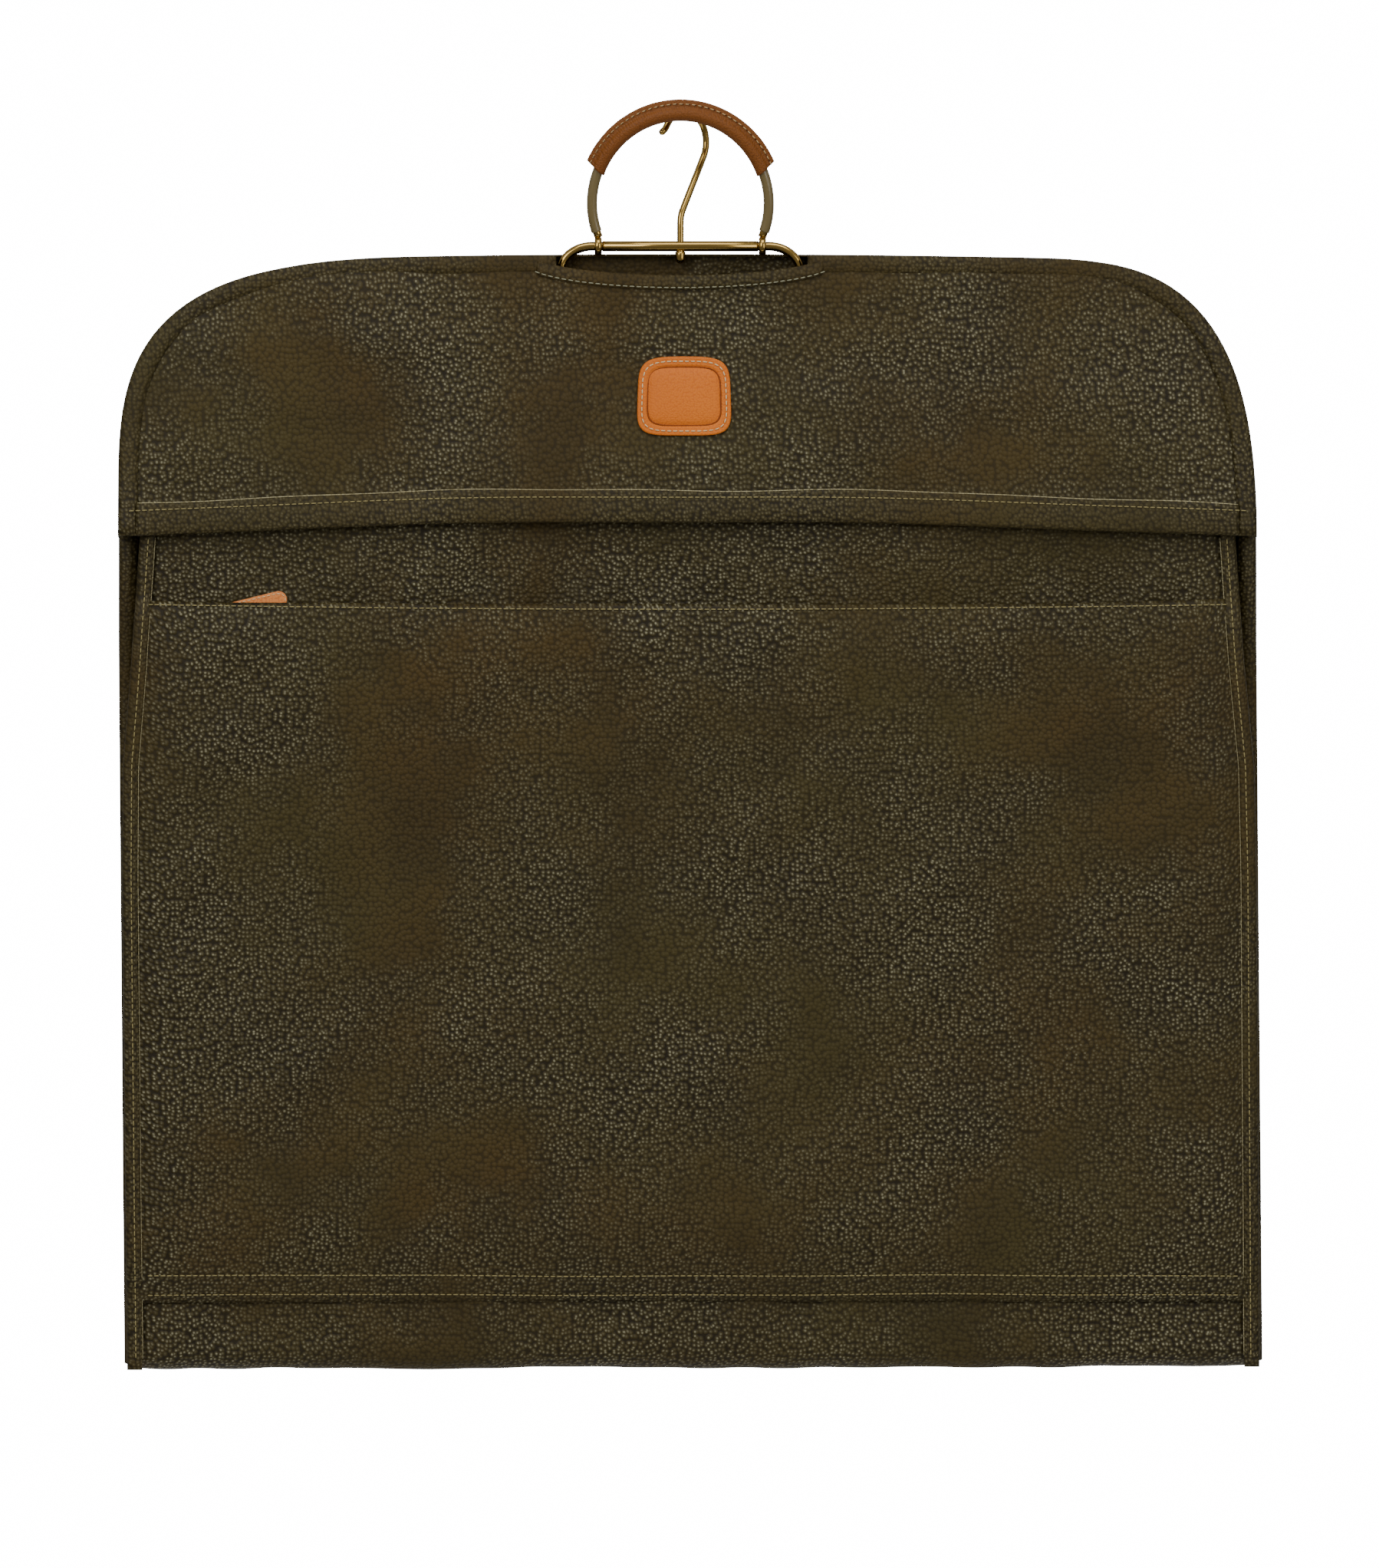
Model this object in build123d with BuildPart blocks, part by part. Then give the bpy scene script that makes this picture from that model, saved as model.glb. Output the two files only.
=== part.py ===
"""Bi-fold garment bag with a wire hook, a padded carry handle, a zipped main
compartment and a full-width zipped pocket.

X runs across the bag, +Y to its back, +Z up. The origin is on the underside of
the hook, straight above its stem. Lengths are in millimetres. The bag is folded
shut: the lower half stands in front of the upper half, joined at the bottom fold.
"""
import os
from math import asin, atan2, cos, degrees, hypot, radians, sin, sqrt

from build123d import *

os.makedirs("parts", exist_ok=True)

# ---- driving dimensions -------------------------------------------------
BODY_W = 597.0          # width of the folded bag
BODY_H = 582.0          # top edge to bottom fold
SHOULDER_W = 125.0      # rounded shoulder, across
SHOULDER_H = 110.0      # rounded shoulder, down
SHOULDER_POWER = 2.42   # how square the shoulder is
CORNER_STEPS = 10

HOOK_R = 16.0           # centreline radius of the hook
HOOK_WIRE = 3.0
HOOK_OFFSET = 3.5       # hook centre beside its stem
HOOK_TURN = 46.0        # rest heading of the hook about its stem
HOOK_DROP = 69.6        # hook underside to the bar's axis
BAR_LEN = 82.4
BAR_D = 5.6
FRAME_WIRE = 3.9
FRAME_HALF = 63.0       # half width of the wire frame
FRAME_H = 50.4          # bar axis to the hanger rod

HANDLE_R = 46.5         # centreline radius of the handle
HANDLE_RISE = 22.8      # handle centre above the bar's axis
HANDLE_TILT = 13.0      # rest lean towards the front
HANDLE_WIRE = 3.0
SLEEVE_D = 4.5
GRIP_D = 7.7
GRIP_SEAM = 3.9         # stitched seam standing outwards from the grip
EYE_T = 2.5
EYE_D = 10.0

SKIN = 2.0              # leather outside with its interlining
LINING = 0.8
EDGE = 2.2              # folded binding round an edge
EDGE_LIP = 9.7          # how far the binding shows on the face
UPPER_DEPTH = 16.0      # upper half, outside to outside
HALF_GAP = 4.0          # between the two folded halves
LOWER_DEPTH = 10.0      # lower half without its pocket
POCKET_DEPTH = 9.0

YOKE_H = 145.4          # top edge to the yoke's hem, at the sides
HEM_RISE = 7.5          # the hem is this much higher in the middle
HEM_BAND = 14.0
HEM_T = 1.4
YOKE_BULGE = 19.0       # the hem stands this far in front of the neck
NECK_W = 150.0
NECK_DROP = 9.2
NECK_GAP = 132.0        # open part of the shoulder seam
LOWER_W = 594.8         # lower half, wide part
LOWER_END_W = 576.0     # lower half, at its tucked end
TAPER_RISE = 307.0      # taper starts this high above the fold
POCKET_DROP = 35.6      # pocket top edge below the yoke's hem, at the sides
POCKET_FLOOR = 34.0     # pocket bottom above the fold
LOWER_LIP = 7.5

PATCH_W = 49.0
PATCH_H = 41.4
PATCH_T = 1.4
PATCH_DROP = 73.5       # top edge of the bag to the patch's middle

# ---- named clearances ---------------------------------------------------
SHAFT_FIT = 0.05        # radial, hook stem in the bar and pulls on their pins
EYE_FIT = 0.10          # radial, handle eyes on the frame wire
FREE = 0.35             # between pieces that pass each other
FOLD_GAP = 0.5          # each half stops this far above the fold line
END_GAP = 1.5           # lower half under the yoke's hem

# ---- stations derived from them -----------------------------------------
BAR_Z = -HOOK_DROP
BODY_TOP = BAR_Z - 6.2
FOLD_Z = BODY_TOP - BODY_H
BACK_Y = UPPER_DEPTH / 2
INNER_Y = -UPPER_DEPTH / 2
LOWER_Y = INNER_Y - HALF_GAP
OUTER_Y = LOWER_Y - LOWER_DEPTH
POCKET_Y = OUTER_Y - POCKET_DEPTH
YOKE_LOW = BODY_TOP - YOKE_H
LOWER_TOP = YOKE_LOW - END_GAP
LOW_END = FOLD_Z + FOLD_GAP
PANEL_LOW = LOW_END + 1.8
POCKET_TOP = YOKE_LOW - POCKET_DROP
POCKET_LOW = FOLD_Z + POCKET_FLOOR
HALF_W = BODY_W / 2
SLOPE = YOKE_BULGE / YOKE_H


def face_plane(y):
    """Upright plane at depth y; extruding from it goes towards the front."""
    return Plane.XZ.offset(-y)


def save(builder, name):
    builder.part.label = name
    export_step(builder.part, f"parts/{name}.step")


def outline(inset, low, rise=0.0):
    """Bag outline with round shoulders, ending at height low."""
    half = HALF_W - inset
    top = BODY_TOP - inset
    wide = SHOULDER_W - inset
    tall = SHOULDER_H - inset
    right = []
    for step in range(CORNER_STEPS + 1):
        turn = radians(90 * step / CORNER_STEPS)
        x = half - wide + wide * abs(cos(turn)) ** (2 / SHOULDER_POWER)
        z = top - tall + tall * abs(sin(turn)) ** (2 / SHOULDER_POWER)
        right.append((x, z))
    left = [(-x, z) for x, z in reversed(right)]
    with BuildLine() as border:
        Spline(*right, tangents=((0, 1), (-1, 0)))
        Line(right[-1], left[0])
        Spline(*left, tangents=((-1, 0), (0, -1)))
        Line(left[-1], (-half, low))
        if rise:
            ThreePointArc((-half, low), (0, low + rise), (half, low))
        else:
            Line((-half, low), (half, low))
        Line((half, low), right[0])
    make_face(border.edges())


def outline_ring(inset, low, rise=0.0):
    """Band of the outline between its edge and the given inset."""
    outline(0.0, low, rise)
    with BuildSketch(mode=Mode.PRIVATE) as inside:
        outline(inset, low - 20, rise)
    add(inside.sketch, mode=Mode.SUBTRACT)


def keep(x0, x1, z0, z1):
    """Keep only this rectangle of the sketch."""
    with Locations(((x0 + x1) / 2, (z0 + z1) / 2)):
        Rectangle(abs(x1 - x0), abs(z1 - z0), mode=Mode.INTERSECT)


def lower_face(inset, low, high, rise=HEM_RISE):
    """Face of the lower half: tapered towards its tucked end."""
    wide = LOWER_W / 2 - inset
    narrow = LOWER_END_W / 2 - inset
    bend = FOLD_Z + TAPER_RISE
    with BuildLine() as border:
        Polyline((-narrow, high), (-wide, bend), (-wide, low), (wide, low), (wide, bend), (narrow, high))
        ThreePointArc((narrow, high), (0, high + rise), (-narrow, high))
    make_face(border.edges())


def yoke_y(z):
    """Depth of the yoke's rear face at height z."""
    return INNER_Y - SLOPE * (BODY_TOP - z)


def between_slopes(rear, front):
    """Keep the part between two planes parallel to the yoke."""
    high = BODY_TOP + 10
    low = YOKE_LOW - 10
    with BuildSketch(Plane.YZ.offset(-BODY_W)) as slab:
        Polygon(
            (yoke_y(high) - rear, high),
            (yoke_y(low) - rear, low),
            (yoke_y(low) - front, low),
            (yoke_y(high) - front, high),
            align=None,
        )
    extrude(slab.sketch, amount=2 * BODY_W, mode=Mode.INTERSECT)


def neck_cut():
    """Shallow scoop of the yoke's neckline."""
    half = NECK_W / 2
    with BuildLine() as border:
        ThreePointArc((-half, BODY_TOP + 1), (0, BODY_TOP - NECK_DROP), (half, BODY_TOP + 1))
        Polyline((half, BODY_TOP + 1), (half, BODY_TOP + 20), (-half, BODY_TOP + 20), (-half, BODY_TOP + 1))
    make_face(border.edges(), mode=Mode.SUBTRACT)


# ---- hook: one bent wire on a swivelling stem ---------------------------
hook_heading = radians(HOOK_TURN)
hook_plane = Plane(
    origin=(0, 0, 0),
    x_dir=(cos(hook_heading), sin(hook_heading), 0),
    z_dir=(sin(hook_heading), -cos(hook_heading), 0),
)
hook_centre = (HOOK_OFFSET, -(HOOK_R - HOOK_WIRE / 2))
neck_point = (0.0, BAR_Z + 16.0)
reach = hypot(hook_centre[0] - neck_point[0], hook_centre[1] - neck_point[1])
to_centre = atan2(hook_centre[1] - neck_point[1], hook_centre[0] - neck_point[0])
lean = to_centre - asin(HOOK_R / reach)
run = sqrt(reach**2 - HOOK_R**2)
joint_point = (neck_point[0] + run * cos(lean), neck_point[1] + run * sin(lean))
arc_start = degrees(lean) - 90
arc_end = 150.0
arc_size = arc_end - arc_start
tip_turn = radians(arc_end)
tip = (hook_centre[0] + HOOK_R * cos(tip_turn), hook_centre[1] + HOOK_R * sin(tip_turn))
tip_way = (-sin(tip_turn), cos(tip_turn))
ferrule_top = BAR_Z - BAR_D / 2 - FREE
ferrule_low = ferrule_top - 6.0
with BuildPart() as hook:
    with BuildLine(hook_plane):
        FilletPolyline((0, ferrule_low + 1), neck_point, joint_point, radius=9)
        CenterArc(hook_centre, HOOK_R, arc_start, arc_size)
        JernArc(tip, tip_way, 7.0, -40)
    with BuildSketch(Plane(origin=(0, 0, ferrule_low + 1))):
        Circle(HOOK_WIRE / 2)
    sweep()
save(hook, "hook")

with BuildPart() as hook_ferrule:
    with BuildSketch(Plane.XY.offset(ferrule_low)):
        Circle(2.6)
    extrude(amount=6.0)
    fillet(hook_ferrule.edges().group_by(Axis.Z)[0], 2.0)
    with BuildSketch(Plane.XY.offset(ferrule_low + 1)):
        Circle(HOOK_WIRE / 2)
    extrude(amount=10, mode=Mode.SUBTRACT)
save(hook_ferrule, "hook_ferrule")

# ---- hanger frame: bar, wire loop, tabs ---------------------------------
wire_end = 12.0
with BuildPart() as hanger_bar:
    with BuildSketch(Plane.YZ.offset(-BAR_LEN / 2)):
        with Locations((0, BAR_Z)):
            Circle(BAR_D / 2)
    extrude(amount=BAR_LEN)
    fillet(hanger_bar.edges().filter_by(GeomType.CIRCLE), 0.6)
    for side in (-1, 1):
        with BuildSketch(Plane.YZ.offset(side * wire_end)):
            with Locations((0, BAR_Z)):
                Circle(FRAME_WIRE / 2)
        extrude(amount=side * BAR_LEN, mode=Mode.SUBTRACT)
    with BuildSketch(Plane.XY.offset(BAR_Z - BAR_D)):
        Circle(HOOK_WIRE / 2 + SHAFT_FIT)
    extrude(amount=2 * BAR_D, mode=Mode.SUBTRACT)
save(hanger_bar, "hanger_bar")

frame_low = BAR_Z - FRAME_H
with BuildPart() as frame_wire:
    with BuildLine(Plane.XZ) as frame_path:
        FilletPolyline(
            (wire_end, BAR_Z),
            (FRAME_HALF - 11, BAR_Z),
            (FRAME_HALF, BAR_Z - 14.4),
            (FRAME_HALF, frame_low),
            (-FRAME_HALF, frame_low),
            (-FRAME_HALF, BAR_Z - 14.4),
            (-FRAME_HALF + 11, BAR_Z),
            (-wire_end, BAR_Z),
            radius=6,
        )
    with BuildSketch(Plane.YZ.offset(wire_end)):
        with Locations((0, BAR_Z)):
            Circle(FRAME_WIRE / 2)
    sweep()
save(frame_wire, "frame_wire")

tab_z = BAR_Z - 32.0
tab_front = -3.2
lining_y = BACK_Y - SKIN - LINING
for side, word in ((-1, "left"), (1, "right")):
    with BuildPart() as anchor_tab:
        with BuildSketch(Plane.XY.offset(tab_z - 9)):
            with Locations((side * FRAME_HALF, (tab_front + lining_y) / 2)):
                RectangleRounded(20, lining_y - tab_front, 1.5)
            with Locations((side * FRAME_HALF, 0)):
                Circle(FRAME_WIRE / 2, mode=Mode.SUBTRACT)
        extrude(amount=18)
    save(anchor_tab, f"anchor_tab_{word}")

with BuildPart() as rivets:
    with BuildSketch(face_plane(tab_front)):
        with Locations((-FRAME_HALF, tab_z), (FRAME_HALF, tab_z)):
            with GridLocations(13, 10, 2, 2):
                Circle(1.8)
    extrude(amount=0.9)
save(rivets, "rivets")

# ---- handle: wire core with end eyes, coated arms, leather grip ---------
lean_in = radians(HANDLE_TILT)
handle_plane = Plane(origin=(0, 0, BAR_Z), x_dir=(1, 0, 0), z_dir=(0, -cos(lean_in), -sin(lean_in)))
eye_x = BAR_LEN / 2 + FREE + EYE_T / 2
arm_end = -degrees(asin(sqrt(1 - (eye_x / HANDLE_R) ** 2)))


def handle_section(angle):
    """Plane across the handle's wire, its x axis pointing outwards."""
    a = radians(angle)
    up = Vector(0, -sin(lean_in), cos(lean_in))
    across = Vector(1, 0, 0)
    outward = across * cos(a) + up * sin(a)
    forward = up * cos(a) - across * sin(a)
    middle = Vector(0, 0, BAR_Z) + up * HANDLE_RISE
    return Plane(origin=middle + outward * HANDLE_R, x_dir=outward, z_dir=forward)


with BuildPart() as handle_core:
    with BuildLine(handle_plane):
        CenterArc((0, HANDLE_RISE), HANDLE_R, arm_end, 180 - 2 * arm_end)
    with BuildSketch(handle_section(arm_end)):
        Circle(HANDLE_WIRE / 2)
    sweep()
    with BuildSketch(Plane.YZ.offset(-eye_x - EYE_T / 2), Plane.YZ.offset(eye_x - EYE_T / 2)):
        with Locations((0, BAR_Z)):
            Circle(EYE_D / 2)
    extrude(amount=EYE_T)
    with BuildSketch(Plane.YZ.offset(-BODY_W / 2)):
        with Locations((0, BAR_Z)):
            Circle(FRAME_WIRE / 2 + EYE_FIT)
    extrude(amount=BODY_W, mode=Mode.SUBTRACT)
save(handle_core, "handle_core")

grip_start = 20.3
arm_low = arm_end + 4.5
for start, word in ((arm_low, "right"), (180 - grip_start, "left")):
    with BuildPart() as handle_sleeve:
        with BuildLine(handle_plane):
            CenterArc((0, HANDLE_RISE), HANDLE_R, start, grip_start - arm_low)
        with BuildSketch(handle_section(start)):
            Circle(SLEEVE_D / 2)
            Circle(HANDLE_WIRE / 2, mode=Mode.SUBTRACT)
        sweep()
    save(handle_sleeve, f"handle_sleeve_{word}")

with BuildPart() as handle_grip:
    with BuildLine(handle_plane):
        CenterArc((0, HANDLE_RISE), HANDLE_R, grip_start, 180 - 2 * grip_start)
    with BuildSketch(handle_section(grip_start)):
        Circle(GRIP_D / 2)
        with Locations((GRIP_D / 2 + GRIP_SEAM / 2 - 0.5, 0)):
            Rectangle(GRIP_SEAM + 1, 2.2)
        Circle(HANDLE_WIRE / 2, mode=Mode.SUBTRACT)
    sweep()
save(handle_grip, "handle_grip")

# ---- upper half: back, lining, binding ----------------------------------
with BuildPart() as back_panel:
    with BuildSketch(face_plane(BACK_Y)):
        outline(EDGE, PANEL_LOW)
    extrude(amount=SKIN)
save(back_panel, "back_panel")

with BuildPart() as back_lining:
    with BuildSketch(face_plane(BACK_Y - SKIN)):
        outline(EDGE, PANEL_LOW)
    extrude(amount=LINING)
save(back_lining, "back_lining")

with BuildPart() as back_binding:
    with BuildSketch(face_plane(BACK_Y + 1)):
        outline_ring(EDGE_LIP, LOW_END)
    extrude(amount=1)
save(back_binding, "back_binding")

# ---- yoke: sloping front panel with a bound hem -------------------------
with BuildPart() as yoke:
    with BuildSketch(face_plane(BACK_Y)):
        outline(EDGE, YOKE_LOW, HEM_RISE)
        neck_cut()
    extrude(amount=80)
    between_slopes(0, SKIN)
save(yoke, "yoke")

with BuildPart() as yoke_hem:
    with BuildSketch(face_plane(BACK_Y)):
        outline(EDGE_LIP, YOKE_LOW, HEM_RISE)
        with BuildSketch(mode=Mode.PRIVATE) as above_hem:
            outline(0, YOKE_LOW + HEM_BAND, HEM_RISE)
        add(above_hem.sketch, mode=Mode.SUBTRACT)
    extrude(amount=80)
    between_slopes(SKIN, SKIN + HEM_T)
save(yoke_hem, "yoke_hem")

with BuildPart() as neck_facing:
    with BuildSketch(face_plane(BACK_Y)):
        outline(EDGE, YOKE_LOW)
        neck_cut()
        keep(-0.6 * NECK_W, 0.6 * NECK_W, BODY_TOP - 24, BODY_TOP)
    extrude(amount=80)
    between_slopes(-1, 0)
save(neck_facing, "neck_facing")

for side, word in ((-1, "left"), (1, "right")):
    with BuildPart() as shoulder_gusset:
        with BuildSketch(face_plane(BACK_Y)):
            outline_ring(EDGE, YOKE_LOW)
            keep(side * NECK_GAP / 2, side * BODY_W, YOKE_LOW, BODY_TOP + 1)
        extrude(amount=80)
        between_slopes(-80, SKIN)
    save(shoulder_gusset, f"shoulder_gusset_{word}")

    with BuildPart() as shoulder_binding:
        with BuildSketch(face_plane(BACK_Y)):
            outline_ring(EDGE_LIP, YOKE_LOW)
            keep(side * (NECK_W / 2 + 1), side * BODY_W, YOKE_LOW, BODY_TOP + 1)
        extrude(amount=80)
        between_slopes(SKIN, SKIN + 1)
    save(shoulder_binding, f"shoulder_binding_{word}")

    with BuildPart() as side_gusset:
        with BuildSketch(Plane.XY.offset(PANEL_LOW)):
            with Locations((side * (HALF_W - EDGE / 2), 0)):
                Rectangle(EDGE, UPPER_DEPTH)
            with Locations((side * (HALF_W - EDGE_LIP / 2), INNER_Y - 0.5)):
                Rectangle(EDGE_LIP, 1)
        extrude(amount=LOWER_TOP - PANEL_LOW)
    save(side_gusset, f"side_gusset_{word}")

# ---- main zip: two rows of teeth between the inner front panels ---------
CHAIN_T = 1.6
CHAIN_IN = 0.7          # half of the slot the slider's post runs in
CHAIN_OUT = 2.1
TAPE_T = 0.6
TAPE_OUT = 9.0
leaf_top = BODY_TOP - 34.0
zip_y = INNER_Y + SKIN / 2
lower_zip_y = LOWER_Y - SKIN / 2
for side, word in ((-1, "left"), (1, "right")):
    with BuildPart() as inner_front:
        with BuildSketch(face_plane(INNER_Y + SKIN)):
            outline(EDGE, PANEL_LOW)
            keep(side * TAPE_OUT, side * BODY_W, PANEL_LOW, leaf_top)
        extrude(amount=SKIN)
    save(inner_front, f"inner_front_{word}")

    with BuildPart() as main_zip:
        with BuildSketch(Plane.XY.offset(PANEL_LOW)):
            with Locations((side * (CHAIN_IN + CHAIN_OUT) / 2, zip_y)):
                Rectangle(CHAIN_OUT - CHAIN_IN, CHAIN_T)
            with Locations((side * (CHAIN_IN + TAPE_OUT) / 2, zip_y)):
                Rectangle(TAPE_OUT - CHAIN_IN, TAPE_T)
        extrude(amount=leaf_top - PANEL_LOW)
    save(main_zip, f"main_zip_{word}")

PLATE = 0.7
SLIDER_L = 11.0
SLIDER_W = 7.2
plate_in = CHAIN_T / 2 + 0.3
plate_out = plate_in + PLATE
PIN_D = 1.6
slider_z = BODY_TOP - 165.0
main_pull_y = INNER_Y - 1.4
PULL_T = 1.2


def slider_body(plane, length_along_x):
    """Two plates either side of the teeth, joined by a thin post."""
    long, wide = (SLIDER_L, SLIDER_W) if length_along_x else (SLIDER_W, SLIDER_L)
    post = 2 * (CHAIN_IN - FREE)
    post_x, post_y = (3.0, post) if length_along_x else (post, 3.0)
    for start in (plate_in, -plate_out):
        with BuildSketch(plane.offset(start)) as plate:
            RectangleRounded(long, wide, 1.6)
        extrude(plate.sketch, amount=PLATE)
    with BuildSketch(plane.offset(-plate_in)) as post_section:
        Rectangle(post_x, post_y)
    extrude(post_section.sketch, amount=2 * plate_in)


main_zip_plane = Plane(origin=(0, zip_y, slider_z), x_dir=(1, 0, 0), z_dir=(0, -1, 0))
with BuildPart() as main_slider:
    slider_body(main_zip_plane, False)
    with BuildSketch(main_zip_plane.offset(plate_in)):
        Circle(PIN_D / 2)
    extrude(amount=zip_y - plate_in - (main_pull_y - PULL_T - 0.4))
save(main_slider, "main_slider")

with BuildPart() as main_pull:
    with BuildSketch(Plane(origin=(0, main_pull_y, slider_z), x_dir=(1, 0, 0), z_dir=(0, -1, 0))):
        Circle(2.3)
        with Locations((0, -19)):
            Circle(3.2)
        make_hull()
        Circle(PIN_D / 2 + SHAFT_FIT, mode=Mode.SUBTRACT)
    extrude(amount=PULL_T)
save(main_pull, "main_pull")

with BuildPart() as fold_skin_back:
    with BuildSketch(Plane.XY.offset(LOW_END)):
        Rectangle(BODY_W, UPPER_DEPTH)
    extrude(amount=PANEL_LOW - LOW_END)
save(fold_skin_back, "fold_skin_back")

# ---- patch on the yoke --------------------------------------------------
patch_z = BODY_TOP - PATCH_DROP
tilt = atan2(SLOPE, 1)
patch_plane = Plane(
    origin=(0, yoke_y(patch_z) - SKIN, patch_z),
    x_dir=(1, 0, 0),
    z_dir=(0, -cos(tilt), sin(tilt)),
)
with BuildPart() as patch:
    with BuildSketch(patch_plane) as patch_face:
        Polygon(
            (-PATCH_W / 2, -PATCH_H / 2),
            (PATCH_W / 2, -PATCH_H / 2),
            (PATCH_W / 2 - 1.3, PATCH_H / 2),
            (-PATCH_W / 2 + 1.3, PATCH_H / 2),
            align=None,
        )
        fillet(patch_face.vertices(), 8)
    extrude(amount=PATCH_T)
save(patch, "patch")

with BuildPart() as patch_pad:
    with BuildSketch(patch_plane.offset(PATCH_T)):
        RectangleRounded(PATCH_W - 12, PATCH_H - 12, 5)
    extrude(amount=0.8)
    fillet(patch_pad.edges().group_by(Axis.Y)[0], 0.5)
save(patch_pad, "patch_pad")

# ---- lower half: lined outer panel, two inner panels, bound edges -------
end_low = LOWER_TOP - EDGE
with BuildPart() as lower_outer:
    with BuildSketch(face_plane(OUTER_Y + SKIN)):
        lower_face(EDGE, PANEL_LOW, end_low)
    extrude(amount=SKIN)
save(lower_outer, "lower_outer")

with BuildPart() as lower_lining:
    with BuildSketch(face_plane(OUTER_Y + SKIN + LINING)):
        lower_face(EDGE, PANEL_LOW, end_low)
    extrude(amount=LINING)
save(lower_lining, "lower_lining")

with BuildPart() as end_binding:
    with BuildSketch(face_plane(LOWER_Y)) as end_face:
        lower_face(EDGE, PANEL_LOW, LOWER_TOP)
        with BuildSketch(mode=Mode.PRIVATE) as below_end:
            lower_face(0, PANEL_LOW - 20, end_low)
        add(below_end.sketch, mode=Mode.SUBTRACT)
    extrude(amount=LOWER_DEPTH)
    with BuildSketch(face_plane(OUTER_Y)):
        lower_face(EDGE, PANEL_LOW, LOWER_TOP)
        with BuildSketch(mode=Mode.PRIVATE) as below_lip:
            lower_face(0, PANEL_LOW - 20, LOWER_TOP - LOWER_LIP)
        add(below_lip.sketch, mode=Mode.SUBTRACT)
    extrude(amount=1)
save(end_binding, "end_binding")

for side, word in ((-1, "left"), (1, "right")):
    with BuildPart() as lower_inner:
        with BuildSketch(face_plane(LOWER_Y)):
            lower_face(EDGE, PANEL_LOW, end_low)
            keep(side * TAPE_OUT, side * BODY_W, PANEL_LOW, BODY_TOP)
        extrude(amount=SKIN)
    save(lower_inner, f"lower_inner_{word}")

    with BuildPart() as lower_zip:
        with BuildSketch(Plane.XY.offset(PANEL_LOW)):
            with Locations((side * (CHAIN_IN + CHAIN_OUT) / 2, lower_zip_y)):
                Rectangle(CHAIN_OUT - CHAIN_IN, CHAIN_T)
            with Locations((side * (CHAIN_IN + TAPE_OUT) / 2, lower_zip_y)):
                Rectangle(TAPE_OUT - CHAIN_IN, TAPE_T)
        extrude(amount=end_low - PANEL_LOW)
    save(lower_zip, f"lower_zip_{word}")

    with BuildPart() as lower_edge:
        with BuildSketch(face_plane(LOWER_Y)):
            lower_face(0, PANEL_LOW, LOWER_TOP)
            with BuildSketch(mode=Mode.PRIVATE) as inside_wall:
                lower_face(EDGE, PANEL_LOW - 20, LOWER_TOP + 20)
            add(inside_wall.sketch, mode=Mode.SUBTRACT)
            keep(side * TAPE_OUT, side * BODY_W, PANEL_LOW, BODY_TOP)
        extrude(amount=LOWER_DEPTH)
        with BuildSketch(face_plane(OUTER_Y)):
            lower_face(0, PANEL_LOW, LOWER_TOP)
            with BuildSketch(mode=Mode.PRIVATE) as inside_pocket:
                lower_face(EDGE, PANEL_LOW - 20, LOWER_TOP + 20)
            add(inside_pocket.sketch, mode=Mode.SUBTRACT)
            keep(side * TAPE_OUT, side * BODY_W, POCKET_LOW, POCKET_TOP)
        extrude(amount=POCKET_DEPTH + SKIN)
        with BuildSketch(face_plane(POCKET_Y - SKIN)):
            lower_face(0, PANEL_LOW, LOWER_TOP)
            with BuildSketch(mode=Mode.PRIVATE) as inside_lip:
                lower_face(LOWER_LIP, PANEL_LOW - 20, LOWER_TOP + 20)
            add(inside_lip.sketch, mode=Mode.SUBTRACT)
            keep(side * TAPE_OUT, side * BODY_W, POCKET_LOW, POCKET_TOP)
        extrude(amount=1)
    save(lower_edge, f"lower_edge_{word}")

with BuildPart() as fold_skin_front:
    with BuildSketch(Plane.XY.offset(LOW_END)):
        with Locations((0, (LOWER_Y + OUTER_Y) / 2)):
            Rectangle(LOWER_W, LOWER_DEPTH)
    extrude(amount=PANEL_LOW - LOW_END)
save(fold_skin_front, "fold_skin_front")

# ---- pocket: panel, floor, slanting zip behind its top edge -------------
with BuildPart() as pocket_panel:
    with BuildSketch(face_plane(POCKET_Y)):
        lower_face(EDGE, POCKET_LOW, LOWER_TOP)
        keep(-BODY_W, BODY_W, POCKET_LOW, POCKET_TOP)
    extrude(amount=SKIN)
save(pocket_panel, "pocket_panel")

with BuildPart() as pocket_floor:
    with BuildSketch(face_plane(OUTER_Y)):
        with Locations((0, POCKET_LOW + 1)):
            Rectangle(LOWER_W - 2 * EDGE, 2)
    extrude(amount=POCKET_DEPTH)
save(pocket_floor, "pocket_floor")

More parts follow.
